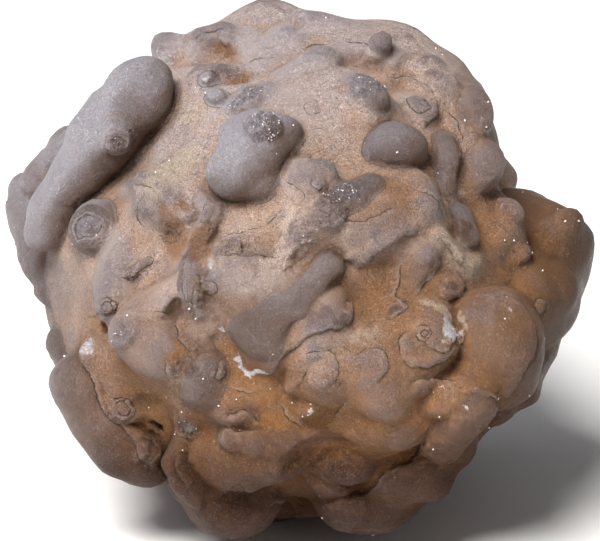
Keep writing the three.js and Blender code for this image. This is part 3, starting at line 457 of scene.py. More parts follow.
lump(11, 30.2, 3.2, 2.2, stretch=1.15, turn=-20, blend=0.8, grey=0.7)  # lump rough crown
lump(19.5, 27.1, 3.6, 1.8, grey=0.5)  # eye crown
lump(13.8, 37.6, 1.9, 1.8)  # nub crown right
lump(19.5, 33.4, 2.4, 1.2, stretch=1.3, blend=0.8)  # nub crown far
lump(5.2, 16.9, 2.2, 1.6, blend=0.8)  # nub middle
lump(3.1, 13.9, 1.7, 1.4, blend=0.5)  # nub middle low
lump(2.3, 19.5, 3, 0.9, stretch=1.3, blend=0.4)  # flat step
lump(-31, -5.8, 1.7, 1, blend=0.3, grey=0.6)  # eye left
lump(-28.9, -10.4, 2.6, 1.8, stretch=1.2, turn=40, blend=0.8)  # nub sparkle
lump(-34.4, -12.5, 2.2, 1.6, stretch=1.2, turn=60, blend=0.8)  # nub white low
lump(-25.6, 0.8, 2.2, 1.2, stretch=1.7, turn=20, blend=0.4)  # plug long
lump(-10.7, 4.4, 2, 1.5, blend=0.5)  # nub lip
lump(-14.4, -2.9, 1.9, 0.6, stretch=1.1, turn=60, grey=0.8)  # nub patch
lump(-14.6, -17.5, 3.6, 1.5, stretch=1.2, turn=70, blend=1, grey=0.9)  # nub grey low
lump(-13.6, -15.4, 1.7, 0.9, stretch=1.1, blend=0.5, grey=0.7)  # nub round low
lump(-18.5, -25, 3, 1.8, stretch=1.1, turn=-40, blend=0.8, grey=0.7)  # nub sugar
lump(-25, -29.4, 1.7, 1.6, stretch=1.2, turn=70, blend=0.5, grey=0.7)  # nub pair a
lump(-23.2, -30.3, 1.5, 1.4, stretch=1.1, turn=70, blend=0.5, grey=0.7)  # nub pair b
lump(-9.2, -24.5, 3, 1.3, stretch=1.3, blend=0.4, grey=0.8)  # window grey
roll(0.6, [  # window low
    (-11.4, -27.7, 2, 1.6), (-7.1, -28.7, 1.8, 1.3), (-1, -28.5, 1.6, 0.9), (6.2, -28.2, 1.5, 0.6),
], grey=0.7)
lump(15.7, -6.3, 2.2, 1.1, stretch=1.2, turn=30, blend=0.3)  # lobe flat
lump(24, -2.8, 3.2, 1.2, stretch=1.3, turn=-10, blend=0.4)  # lobe flat right
lump(21.6, -10.7, 5.2, 1.3, blend=0.5)  # eye big
lump(10.4, -15.9, 4.4, 1.2, stretch=1.2, turn=-20, blend=0.4)  # eye flat
lump(1.8, -19.8, 5.3, 2.2, blend=0.4)  # eye crack
roll(0.6, [  # crescent eye
    (-1.3, -18.5, 1.7, 1), (-0.2, -14.9, 2, 1.1), (3.1, -12.5, 2, 1.1), (7.1, -11.8, 1.6, 0.7),
])
lump(2.4, -22.7, 2.6, 1.5, blend=0.8)  # nub glint
lump(8.8, -32.8, 4.6, 3, stretch=1.2, blend=0.8)  # lump low mid
lump(5.2, -35.4, 3.6, 2.4, stretch=1.2, turn=-20, blend=0.8)  # lump low mid b
limb(0.5, [(-42.5, 1.3, 4, 2.2), (-41.8, -0.3, 4, 2)], grey=0.9)  # bump edge a
limb(0.5, [(-40.7, -2.9, 5, 2.3), (-39.6, -4.5, 5, 2)], grey=0.9)  # bump edge b
limb(0.4, [(-38.9, -7.3, 5, 1.5), (-38.4, -8.3, 5, 1.4)])  # bump edge c
limb(0.8, [(-37.9, -11.4, 6, 3), (-36.6, -13.3, 6, 3)], grey=0.9)  # bump edge d
lump(34.7, 10.4, 2.4, 1.8, stretch=1.1)  # nub flank top
lump(36, 2.3, 2.8, 1, stretch=1.1, turn=60)  # eye flank
lump(40.1, -5.8, 1.6, 0.9, blend=0.4)  # eye flank low
limb(1.2, [  # low flank right
    (37.6, -12.3, 11, 4.8), (34.7, -17.8, 12, 4.8), (31.8, -20.4, 14, 4.4),
], brown=0.8)

# Small nubs and pits all over the sides and back.
for i, rise, flat, turned, toward in spread(260, 0):
    if toward > -0.12 or rise < -0.86:
        continue
    size, lean, twist = (chance(i, seed) for seed in (SIZE_SEED, LEAN_SEED, TWIST_SEED))
    azimuth = turned + 8 * (lean - 0.5) / max(flat, 0.3)
    elevation = math.degrees(math.asin(rise)) + 8 * (twist - 0.5)
    width = 1.6 + 3.2 * size * size * min(1, (-toward - 0.1) / 0.35)
    if i % 7 == 3:
        hollow(azimuth, elevation, width * 0.8, width * 0.5, 1 + 0.5 * lean, 180 * twist, 1, by=around)
    else:
        height, blend = width * (0.3 + 0.6 * lean), 0.4 + 0.8 * twist
        grey = 0.9 if i % 3 == 1 else 0
        lump(azimuth, elevation, width, height, 1 + 0.3 * twist, 180 * lean, blend, by=around, grey=grey)

# Hollows and open valleys between the growths.
hollow(-20.4, 6, 2.6, 1.4, stretch=1.1, turn=20, blend=1)  # crater orange
hollow(-31.6, -9.2, 0.8, 1.8, blend=0.5)  # hole left
hollow(-22.9, -25.5, 0.9, 1.8, stretch=1.1)  # hole low
hollow(0.3, -31.3, 2.8, 1.4, stretch=1.3, blend=1.2)  # hollow low
hollow(-12.3, 36, 2.4, 0.8, stretch=1.2, blend=0.8)  # hollow crown
hollow(-10.7, 31.1, 2, 1.3, stretch=1.4, turn=10, blend=0.8)  # valley crown
hollow(-18.8, -13.9, 1.8, 0.9, stretch=1.2, turn=60, blend=0.9)  # valley left
hollow(0, -38.6, 3.8, 3.2, stretch=1.2, blend=1.2)  # recess under
hollow(1.9, -28.2, 1.6, 0.5, stretch=2.4, blend=1)  # valley mid
hollow(27.6, 10.7, 1.4, 1, stretch=1.3)  # valley right
hollow(26.6, 25.9, 1.6, 1, stretch=1.8, turn=88, blend=0.8)  # valley shoulder
hollow(0.3, 40.5, 1.8, 1.2, stretch=1.6, turn=80, blend=1)  # valley crown mid
hollow(10.1, -4.9, 2.2, 1, stretch=1.3, turn=80, blend=1.2)  # valley apron
hollow(27.6, 17.8, 1.6, 1, stretch=1.6, turn=85, blend=0.8)  # valley cheek
hollow(-18.2, 16.5, 2.6, 0.8, stretch=1.2, blend=1.5)  # valley tan
hollow(-19.8, -8.4, 1.6, 0.6, stretch=1.7, turn=80, blend=0.8)  # valley dome
hollow(-24, -21.1, 1.8, 0.9, stretch=1.5, turn=30, blend=1)  # valley low

# The foot is flat where the stone rests.
held = np.maximum(held, -lines[2])

# Marks on the skin: crust edges, cracks, rings and stains. A crust edge is a line with a sharp small step.
LINE_STEP = 0.3
LINE_REACH = 3.0
LINE_DEPTH = 1.8
LINE_SPAN = 0.8
SETTLE_ROUNDS = 4
RING_STOPS = 14
traces = []
stains = []


def smooth(value, start, end):
    """0 before start, 1 after end, eased between."""
    t = np.clip((value - start) / (end - start), 0, 1)
    return t * t * (3 - 2 * t)


def fray(points, amount):
    """Points nudged about, so that lines and edges read through them look ragged."""
    a, b = points[:, [1, 2, 0]], points[:, [2, 0, 1]]
    return points + amount * (np.sin(2.1 * a + 0.9 * b) + 0.6 * np.sin(4.9 * b - 1.7 * a + 2))


def settle(points):
    """Points brought onto the skin along its facing."""
    for _ in range(SETTLE_ROUNDS):
        points = points - facing(points, LINE_SPAN) * field(points)[:, None]
    return points


def trace(stops, step, closed=False):
    """A line through stops, rounded between them and laid on the skin."""
    stops = np.array(stops)
    count = len(stops)
    run = []
    for i in range(count if closed else count - 1):
        if closed:
            a, b, c, d = (stops[(i + k) % count] for k in (-1, 0, 1, 2))
        else:
            a, b, c, d = (stops[min(max(i + k, 0), count - 1)] for k in (-1, 0, 1, 2))
        t = np.arange(0, 1, LINE_STEP / max(np.linalg.norm(c - b), LINE_STEP))[:, None]
        bend = (2 * a - 5 * b + 4 * c - d) * t**2
        run.append(b + ((c - a) * t + bend + (3 * b - a - 3 * c + d) * t**3) / 2)
    run = settle(np.concatenate(run + [stops[:1] if closed else stops[-1:]]))
    gone = np.linalg.norm(np.diff(run, axis=0), axis=1).cumsum()
    gone = np.concatenate([[0], gone])
    ends = np.ones(len(run)) if closed else smooth(np.minimum(gone, gone[-1] - gone), 0, 1.5)
    traces.append((run, facing(run, LINE_SPAN), ends, step))


def ledge(step, stops, by=on_face):
    """A crust edge through places on the skin."""
    trace([by(*stop)[0] for stop in stops], step)


def ring(a, b, radius, step, stretch=1.0, turn=0.0, by=on_face):
    """A ringed eye at a place, a little uneven as such rings grow."""
    point, normal = by(a, b)
    u, v, _ = axes_on(normal, turn)
    stops = []
    for i in range(RING_STOPS):
        angle = 2 * math.pi * i / RING_STOPS
        uneven = 1 + 0.09 * math.sin(2 * angle + radius * 9) + 0.06 * math.sin(5 * angle + radius * 23)
        reach = radius * uneven
        stops.append(point + u * math.cos(angle) * reach * stretch + v * math.sin(angle) * reach / stretch)
    trace(stops, step, closed=True)


def stain(kind, a, b, radius, strength, stretch=1.0, turn=0.0, by=on_face):
    """A soft round patch of some kind at a place, by its half width."""
    point, normal = by(a, b)
    stains.append((kind, point, axes_on(normal, turn), radius, strength, stretch))


# Crust edges, cracks and ringed eyes of the show face. A positive step raises the left of an edge or the
# inside of a ring; 0 is a plain crack.
ring(-29.2, 20.4, 2.35, 0.3, stretch=1.05, turn=20)  # small eye
ring(-29, 20.4, 1.14, -0.25)  # its pupil
ring(-34.4, 7.1, 2.27, -0.45, stretch=1.1, turn=20)  # crater of the round knob
ring(-31, -5.8, 1.54, 0.3)  # low left eye
ring(-31, -5.8, 0.68, -0.2)  # its pupil
ring(-28.5, -22.5, 1.95, 0.3, stretch=1.2, turn=-20)  # eye over the low roll
ring(-28.5, -22.4, 1.05, -0.25, stretch=1.2, turn=-20)  # its pupil
ledge(0.3, [(-26.6, 13.9), (-24, 13.5), (-22.4, 11.4), (-21.4, 10.1)])  # lip of the crater dome
ledge(-0.3, [(-25.3, 13.6), (-25.1, 12), (-26.1, 10.1), (-25.9, 8.1), (-24.5, 6.8)])  # heart of the crater
ring(-26.3, 0.5, 2.11, 0.35, stretch=1.5, turn=22)  # long plug
ring(19.5, 27.1, 2.03, 0.3, stretch=1.1, turn=60)  # crown eye
ring(20.4, 26.9, 0.75, -0.2)  # its pupil
ledge(-0.35, [  # crust round the crown eye
    (14.1, 31.1), (17.4, 31.3), (20.6, 30), (22.2, 28.1), (22.7, 26.3), (21.7, 24.2), (20.4, 22.5),
])
ring(2.3, 26.4, 1.3, 0.2, stretch=1.25, turn=65)  # lens
ledge(0.4, [  # outer crust of the big eye
    (18.5, -9.6), (17.2, -10.1), (16.4, -11.7), (16.5, -13.9), (17.8, -15.4), (19.6, -15.9), (21.6, -15.7),
    (23.4, -14.8), (25.1, -13.9), (26.4, -12.6), (27.1, -11), (26.9, -9.4),
])
ledge(0.35, [  # inner crust
    (20.4, -11.4), (21.4, -12.6), (22.9, -13.3), (24.2, -13), (25.1, -12), (26.1, -10.9),
])
ring(20.3, -10.2, 1.22, 0.25)  # small ring of the big eye
ring(20.4, -10.2, 0.58, -0.2)  # its pupil
ledge(-0.3, [  # flat eye
    (7.6, -12.3), (9.7, -13.5), (11.7, -12.6), (13.5, -13.1), (14.8, -14.8), (14.6, -16.4), (13.3, -17.7),
    (12.6, -19),
])
ledge(-0.3, [  # cracked eye
    (0.6, -13.9), (3.2, -13.3), (5.8, -13.6), (6.5, -15.6), (6.2, -17.8), (4.5, -19.5),
])
ring(4.2, -18.2, 0.97, 0.25, stretch=1.1, turn=70)  # its heart
ledge(0.2, [(-1.6, -19), (-0.2, -18.8), (1, -17.4), (1.6, -15.2)])  # crack beside it
ledge(0, [(34.4, 3.7), (35.4, 2.8), (35.8, 1.8)])  # crack of the flank eye
ledge(-0.35, [(37.1, 4.9), (37.8, 3.9), (37.8, 2.6), (36.6, 1.3), (35.8, 0.2)])  # flank eye
ring(39.4, -5.8, 1.3, 0.2, stretch=1.2, turn=70)  # low flank eye
ring(-14.9, 9.2, 1.46, 0.35, stretch=1.2, turn=60)  # grey chip
ring(3.1, 13.9, 0.97, 0.25)  # small middle ring
ledge(-0.2, [(2.4, 15.2), (3.4, 17.5), (5.5, 17.8), (6.8, 16.2)])  # wide middle ring
ledge(0.25, [(-3.4, -21.6), (-2.3, -22.4), (-1.9, -23.7), (-0.5, -24.8), (1, -25.5)])  # crust
ledge(-0.2, [(4.4, -25.5), (5.7, -24.3), (6.8, -22.4), (7.5, -21.1)])  # crust
ledge(0, [(6.3, -19.8), (6.8, -18.5), (7.8, -17.8)])  # crack
ledge(-0.4, [  # grey window
    (-12.2, -24.3), (-11, -23.4), (-9.7, -22.9), (-7.8, -22.9), (-7, -24.2), (-5.8, -25.6),
])
ledge(0.25, [  # its lower edge
    (-5.8, -25.6), (-7.8, -26.1), (-9.7, -26.3), (-11.7, -25.6), (-12.5, -26.9), (-12.3, -28.4),
    (-11, -29.4), (-9.1, -29.5),
])
ledge(0.3, [(-13.9, -37.6), (-12, -36.3), (-10.7, -35.2), (-9.1, -34.9), (-7.9, -35.8)])  # low crust
ledge(0.25, [(-4.9, -38.6), (-2.9, -37.9), (-1, -38.1), (0, -39.4)])  # low crust
ledge(-0.25, [(3.7, -32.6), (5, -33.9), (6.8, -34.9), (8.8, -35.2)])  # low crust
ledge(0.2, [(6.8, -30.2), (7.3, -31.3), (8.4, -32.4)])  # crack
ledge(-0.45, [  # edge over the low right haunch
    (3.9, -37.5), (6.5, -37.1), (8.8, -36.5), (10.9, -36), (12.6, -34.7), (13.9, -32.9), (16.1, -31.8),
    (18.3, -30.8), (19.5, -29), (20.6, -27.1),
])
ledge(0.45, [  # long plate edge
    (7.3, 1.3), (8.6, 1.3), (9.7, 0.5), (11.4, 1), (12.3, 2.1), (13.5, 3.2), (14.9, 3.9), (16.2, 4.9),
    (17.5, 5.5), (19.5, 5.5),
])
ledge(-0.3, [(16.5, 1.3), (16.7, -0.8), (16.1, -2.9), (15.9, -4.2), (17.2, -5), (18.5, -5)])  # fan
ledge(-0.25, [(22.4, 2.3), (23.2, 1.1), (22.1, -0.8), (20.6, -2.4), (19, -4.5)])  # fan shoulder
ledge(-0.35, [  # flat lobe
    (25, 0.6), (26.1, -0.6), (27.1, -2.3), (27.2, -3.2), (26.6, -4.2), (25.1, -4.9), (23, -4.7),
])
ledge(-0.5, [  # apron
    (7.6, -4.9), (8.6, -5.2), (8.8, -6.8), (8.4, -8.3), (7.1, -9.4), (5.2, -9.7), (3.2, -10.2), (1.6, -11),
    (-0.2, -12.3), (-1.6, -13.5), (-2.9, -14.9), (-4.4, -17),
])
ledge(-0.35, [  # brown lens
    (14.1, -7.3), (14.4, -6.2), (15.4, -5.4), (17.4, -5.4), (17.8, -6), (16.5, -7.3), (15.4, -7.9),
    (14.3, -7.8),
])
ledge(-0.35, [(-14.6, 1.3), (-13, 2.3), (-10.2, 2.6), (-7.8, 2.3), (-5.2, 2.3), (-3.1, 1.8)])  # patch top
ledge(0.3, [  # patch side
    (-15.4, -1.6), (-16.5, -2.1), (-17.2, -3.6), (-17.2, -5.7), (-16.5, -7.8), (-15.6, -9.2),
])
ledge(0.25, [(-17.7, 3.2), (-18.5, 1), (-18.8, -1.6), (-18.3, -4.9), (-17.2, -7.8)])  # chain
ring(-14.4, -2.8, 1.22, 0.25, stretch=1.1, turn=70)  # lens on the patch
ledge(0, [(1.8, 22.5), (3.2, 22.9), (5.4, 22.5)])  # hairline
ledge(-0.3, [(0, 17.8), (1.9, 18.2), (3.2, 19.1), (5.8, 19.9)])  # flat step
ledge(0.25, [(-17, 37), (-15.4, 38.3), (-13.3, 38.9), (-9.6, 38.3)])  # crown crust
ledge(0.2, [(0.8, 35.5), (2.6, 36.6), (5.8, 36.6)])  # crown crust
ledge(0.2, [(6.8, 37), (10.4, 36.8), (13.1, 35)])  # crown crust
ledge(0.2, [(-14.9, 33.1), (-13.8, 32.1), (-12.3, 31.5)])  # crown crust
ledge(0.45, [  # crease above the low roll
    (-35.7, -14.6), (-33.7, -17), (-32.9, -19.6), (-31.8, -22.7), (-30.5, -24.3), (-28.5, -25.6),
    (-26.9, -27.7), (-25.9, -30), (-24.6, -31.9),
])
ledge(-0.3, [  # crease of the belly
    (29.5, -3.9), (32.1, -3.9), (34.4, -4.4), (36.3, -5.5), (38.1, -8.4), (38.9, -11.4), (38.4, -13.9),
    (36.8, -16.5), (35, -19.5), (33.9, -20.9), (32.3, -21.4), (29.5, -20.4), (27.4, -19.1),
])
ledge(-0.35, [  # low lobe
    (18.6, -19.1), (18.6, -18.3), (20.1, -17.7), (22.4, -17.5), (24.6, -17.8), (25.8, -18.8), (27.2, -19.6),
])
ledge(0.3, [(-19.8, -29.5), (-20.1, -31.3), (-19.3, -33.6), (-17.8, -35.8)])  # worm
ledge(0.3, [  # pair of nubs
    (-25.9, -28.5), (-25, -27.7), (-23.5, -28.1), (-22.7, -29.4), (-24.2, -31), (-23.7, -32.4),
    (-22.5, -32.8),
])
ring(-12.3, -16.2, 1.46, 0.25, stretch=1.2, turn=60)  # pale round nub
ledge(0.15, [(-2.8, 14.3), (-0.3, 13.6), (1.1, 12), (-0.3, 10.7)])  # thin crust by the blob
ledge(0.12, [(-12.3, 5.5), (-9.1, 6.2), (-5.8, 7.1), (-3.2, 9.1)])  # thin crust under the blob
ledge(-0.15, [(5.7, 9.1), (8.8, 7.8), (12, 8.4), (15.9, 10.4)])  # fold of the swell
ledge(0.15, [(17.4, 13.6), (20.4, 12.6), (23, 10.4), (24.2, 7.5)])  # fold of the swell
ledge(0.3, [(23, 5.2), (24.3, 3.4), (25.6, 1.6), (26.9, 0.3)])  # pale edge
ledge(0.2, [(-19.5, -6.8), (-19.8, -9.4), (-18.8, -12), (-17, -13.6)])  # fold of the left dome
ledge(-0.2, [(-24, -7), (-21.6, -6.8), (-19.5, -7.8)])  # fold of the left dome
ledge(0.2, [(-34.4, -7.8), (-32.1, -7.1), (-29.2, -6.8)])  # fold of the left dome
ledge(0.15, [(-11.7, -18.5), (-9.4, -19.8), (-6.5, -19.9), (-4.2, -18.8)])  # fold under the patch
ledge(0.12, [(-8.4, 33.4), (-5.8, 34.4), (-2.9, 34.1)])  # fold of the crown
ledge(-0.12, [(5.2, 32.1), (8.1, 33.1), (11, 32.8)])  # fold of the crown
ledge(0.15, [(23.7, 26.3), (25.6, 24.3), (26.6, 21.1), (25.9, 18.2)])  # fold of the shoulder
ledge(0.2, [(-20.8, -14.6), (-21.6, -16.5), (-20.4, -18.8)])  # sugary nubs
ledge(0.2, [(-19.8, -23), (-20.1, -25), (-18.8, -27.1), (-16.9, -28.5)])  # sugary nubs

# Stains, frost and rough patches of the show face: across, up, half width, strength, and the stretch and turn
# of those that are longer one way.
for kind, patches in (
    ("druse", (
        (-5.8, 23.7, 2.92, 1, 1.05),  # dark cap of the blob
        (-34.5, 7.1, 1.78, 0.8, 1.1, 30),  # crater of the round knob
        (-8.6, 28.4, 2.27, 0.7, 1.5, 30),  # rough ridge
        (7.8, 13, 3.08, 0.7, 1.6, 30),  # druse ridge
        (10.9, 30.3, 2.92, 0.6, 1.2),  # rough crown lump
        (-28.9, -10.5, 2.11, 0.5, 1.2),  # sparkling nub
        (-18.3, -25.6, 1.95, 0.5, 1.1),  # sugar nub
        (37.8, -7.8, 0.49, 0.36, 2.2, 115),  # belly edge
        (38.6, -12.2, 0.49, 0.36, 2.6, 88),  # belly edge
        (37.3, -16.2, 0.49, 0.36, 2.2, 60),  # belly edge
        (-29.4, 20.8, 0.81, 0.8),  # eye on the big roll
    )),
    ("rough", (
        (5.2, 9.4, 3.24, 0.9, 1.6, 30),  # foot of the druse ridge
        (-14.8, 9.1, 1.62, 0.4, 1.2, 60),  # grey chip
        (-14.6, 6.2, 1.62, 1, 1.1),  # chain
        (-16.5, 3.2, 1.95, 1, 1.2, 60),  # chain
        (-19, -1.3, 1.95, 0.8, 1.4, 70),  # chain
        (-16.9, -4.9, 1.78, 0.8, 1.8, 80),  # chain
        (-10.7, 3.9, 2.27, 0.9, 1.6),  # lip of the patch
        (-5.2, 2.6, 2.27, 0.7, 1.8),  # lip of the patch
        (-24, 10.5, 3.24, 0.35, 1.2, 60),  # heart of the crater
        (-20.8, 6.2, 2.59, 0.7, 1.2),  # heart of the crater
        (-26.3, 0.5, 2.43, 0.8, 1.6, 22),  # long plug
        (-17.5, -12.2, 2.27, 0.8, 1.3, -50),  # valley
        (-19.1, -15.6, 2.27, 0.9, 1.2),  # sugary nubs
        (-14.6, -17.2, 2.92, 0.6, 1.4, 70),  # grey nub
        (-19.1, -21.1, 2.59, 0.6, 1.2),  # sugary nubs
        (-18.2, -25.9, 2.27, 0.9, 1.2, -40),  # sugary nubs
        (-18.3, -31.8, 2.59, 0.8, 1.5, 80),  # worm
        (-23.2, -25.5, 1.46, 1, 1.2),  # low hole
        (0.3, -30.8, 2.59, 0.8, 1.8),  # low hollow
        (-11, 32.4, 2.27, 0.7, 1.6),  # crown valley
        (-12.3, 36, 2.59, 0.5, 1.4),  # crown hollow
        (32.8, 10.5, 2.27, 0.5, 1.4, 20),  # top of the flank
        (0.3, 3.2, 2.92, 0.5, 1.5, 40),  # low druse ridge
        (-28.5, -22.5, 2.27, 0.6, 1.2),  # eye over the low roll
        (6.8, -32.4, 2.92, 0.5, 1.5),  # low lumps
        (-15.4, -3.2, 2.11, 0.8, 2, 85),  # crinkled ridge
        (-17.5, 2.9, 1.95, 0.8, 1.3),  # crinkled ridge
    )),
    ("orange", (
        (-19.8, 7.1, 3.89, 1, 1.3, 100),  # orange heart
        (-15.9, 4.2, 2.92, 0.9, 1.4, 80),  # orange rubble
        (-19.5, -13.3, 2.11, 0.9, 1.6, 60),  # valley
        (-11.8, 35.7, 2.11, 0.8, 1.4),  # crown hollow
        (-9.4, 30.8, 2.11, 0.7, 1.5, 20),  # crown valley
        (0.3, -30.8, 2.92, 0.9, 1.6),  # low hollow
        (35.4, 2.4, 2.11, 0.9, 1.2, 100),  # flank eye
        (-30.5, 12, 2.27, 0.45, 1.8, 80),  # behind the round knob
        (-32.4, -8.8, 2.27, 0.8, 1.6),  # small hole
        (-24, -24.6, 2.11, 0.9, 1.5, -20),  # low hole
        (3.9, -17.8, 2.27, 0.5, 1.2),  # cracked eye
        (-29.2, 24.6, 1.62, 0.4),  # below the big roll
        (7.6, 29.2, 1.62, 0.5),  # crown
        (16.5, 30.2, 1.62, 0.5, 1.6),  # crown
        (17.2, 24.3, 1.46, 0.45, 1.2),  # crown
        (0.3, 1.3, 2.27, 0.5, 1.4, 10),  # foot of the low ridge
        (28.9, 11.4, 1.95, 0.5, 1.8, 10),  # cheek
        (-24.6, -4.9, 1.95, 0.3, 1.3),  # left ridge
        (-3.6, 5.5, 2.59, 0.45, 1.5),  # under the ridge
        (6.8, -28.9, 4.22, 0.6, 2.4),  # low fold
        (11.7, -1.6, 3.57, 0.5, 1.3, 80),  # bare plate
        (13.3, -21.1, 4.86, 0.3, 1.6),  # low swell
        (-6.2, -30.8, 4.86, 0.35, 1.5),  # low swell
        (36, -3.2, 1.95, 0.5, 1.4, 60),  # flank valley
        (-7.8, 9.4, 2.59, 0.3, 1.5),  # under the blob
    )),
    ("snow", (
        (-9.7, -14.9, 0.81, 1, 1.5, -50),  # snowy crescent
        (-8.4, -16.1, 0.97, 1, 1.6, -25),  # snowy crescent
        (-6.6, -16.7, 0.97, 1, 1.6, 5),  # snowy crescent
        (-5.4, -16.4, 0.81, 1, 1.3, 20),  # snowy crescent
        (24.6, -9.9, 2.11, 1, 1.15, -40),  # blue white patch
        (-34.2, -12.5, 1.46, 0.8, 1.2, 30),  # white nub
        (24.2, -9.6, 1.62, 0.8, 1.4, 60),  # white heart of the big eye
        (-18.2, -25.9, 1.14, 0.7, 1.2, 60),  # sugar nub
        (2.1, -22.9, 0.73, 0.9, 1.3, 60),  # painted glint
        (-14.9, 30.8, 0.65, 0.9),  # white spot
        (-21.7, 34.4, 2.27, 0.5, 1.3),  # frosty shoulder
        (3.6, 36.5, 1.95, 0.35, 2),  # crown frost
        (26.9, -21.9, 0.65, 0.7, 1.6, -20),  # white rim
        (23.7, -19.1, 0.65, 0.8, 2.4, -15),  # white rim
        (-12, -9.7, 0.65, 0.8, 1.4, 60),  # white rim
        (-14.4, 1, 0.81, 0.7, 1.6, 70),  # white rim
        (-23, 1.9, 0.57, 0.8, 1.8, -60),  # white rim
        (34.1, -6.3, 0.65, 0.8, 1.6, -40),  # white rim
        (8.1, 14.6, 1.3, 0.4, 1.5, 20),  # frost
        (-24, -31, 0.65, 0.6, 1.8, -70),  # white rim
    )),
    ("dark", (
        # Some of these dark patches are painted shade: those in the low hollow, the recess, the low hole and
        # the right valley, and those along the bottom.
        (0.3, -31.8, 4.54, 0.8, 1.4),  # painted shade in the low hollow
        (9.1, -33.1, 3.89, 0.7, 1.4),  # painted shade on the low lumps
        (-29.4, 20.8, 1.78, 0.8),  # eye on the big roll
        (15.9, -6.5, 1.3, 0.9, 1.3, 10),  # brown lens
        (6.8, -8.4, 1.62, 0.8, 1.4, 20),  # apron tip
        (3.6, -7.8, 2.59, 0.5, 1.4, 20),  # apron
        (24.6, -2.6, 1.46, 0.8, 1.4, -10),  # brown lobe
        (27.2, 6.8, 1.62, 0.8, 1.5, -70),  # dark bump
        (43.5, -4.9, 2.59, 0.25, 1.4, 90),  # flank
        (0, -38.6, 3.24, 0.9, 1.4),  # painted shade in the recess
        (-23, -25.5, 0.97, 1, 1.3),  # painted shade in the low hole
        (27.6, 10.4, 1.3, 0.6, 1.2),  # painted shade in the right valley
        (21.4, -20.3, 3.24, 0.3, 1.6),  # low right
        (-7.1, -37.3, 1.95, 0.7, 1.3, -30),  # painted shade on the low crust
        (-2.4, -39.2, 1.95, 0.8, 1.3),  # painted shade on the low crust
        (8.8, -34.1, 3.57, 0.4, 1.6),  # painted shade on the low lumps
    )),
    ("cream", (
        # The first two are painted light, laid where the big roll shades the skin.
        (-20.4, 16.5, 4.86, 1, 1.4, 60),  # painted light beside the big roll
        (-16.5, 25.6, 3.24, 0.6, 1.2),  # painted light beside the big roll
        (1.3, 19.5, 3.24, 0.5, 1.2),  # beside the blob
        (12, 3.2, 3.57, 0.4, 1.5),  # bare swell
        (23, -6.2, 2.11, 0.9, 2, -6),  # cream crust over the big eye
        (26.6, -8.4, 1.14, 0.7, 1.5, -60),  # cream crust
        (25.6, 2.9, 1.46, 1, 2, -42),  # pale ridge
        (27.6, 1, 1.14, 0.9, 1.3),  # pale ridge
        (42.8, 3.2, 1.95, 0.4, 2, 85),  # flank
        (9.4, -10.5, 2.59, 0.6, 1.8, 10),  # pale field by the apron
        (-1.3, 19.5, 3.24, 0.3),  # pale skin by the blob
        (-15.1, -12.2, 1.95, 0.4, 1.6, 80),  # pale fold
    )),
):
    for patch in patches:
        stain(kind, *patch)

# Rings, crust edges and stains all over the sides and back as well.
KINDS = ("orange", "druse", "rough", "snow", "cream", "dark")
FAR_KINDS = ("orange", "rough", "snow", "druse", "dark", "rough")
for i, rise, flat, azimuth, toward in spread(90, 1):
    if toward > -0.1 or rise < -0.8:
        continue
    size, lean = chance(i, SIZE_SEED, 4), chance(i, LEAN_SEED, 4)
    elevation = math.degrees(math.asin(rise))
    step = (0.15 + 0.2 * size) * (1 if i % 2 else -1)
    if i % 3 == 0:
        ring(azimuth, elevation, 1.4 + 1.6 * size, step, 1 + 0.3 * lean, 180 * size, by=around)
        ring(azimuth, elevation, 0.7 + 0.5 * size, -step * 0.6, by=around)
    elif i % 3 == 1:
        reach, bend = 6 + 12 * size, 30 * (lean - 0.5)
        turns = [azimuth + reach * (k - 1.5) / max(flat, 0.4) for k in range(4)]
        ledge(step, [(turns[k], elevation + bend * math.sin(k * 1.3 + size)) for k in range(4)], by=around)
    kind, radius, strength = FAR_KINDS[i % 6], 2 + 2.4 * lean, 0.35 + 0.5 * size
    stain(kind, azimuth, elevation, radius, strength, 1 + 0.6 * lean, 180 * size, by=around)


GREY_REACH = 3.0
COAT_FADE = (2.2, -0.2)
SKIN_SPAN = 0.5


def mark_growths(made, at):
    """What each coated growth is coated with, and how near the grey ones are."""
    for centre, reach, distance_to, blend, coat in growths:
        if not any(coat.values()):
            continue
        near = np.nonzero(np.linalg.norm(at - centre, axis=1) < reach + GREY_REACH)[0]
        own = distance_to(*wander(*at[near].T))
        for name, strength in coat.items():
            if name == "grey":
                so_far = made["grey_rim"][near]
                made["grey_tone"][near[own < so_far]] = strength
                made["grey_rim"][near] = join(so_far, own, blend)
            else:
                made[name][near] = np.maximum(made[name][near], strength * smooth(own, *COAT_FADE))


def mark_stains(made, at):
    """How strong the stains of each kind are."""
    frayed = fray(at, 0.35)
    for kind, centre, axes, radius, strength, stretch in stains:
        near = np.nonzero(np.linalg.norm(at - centre, axis=1) < radius * stretch * 1.6 + 0.6)[0]
        u, v, depth = ((frayed[near] - centre) @ axes.T / radius).T
        gap = np.sqrt((u / stretch) ** 2 + (v * stretch) ** 2 + (depth * 0.6) ** 2)
        made[kind][near] = np.maximum(made[kind][near], strength * smooth(gap, 1.45, 0.45))


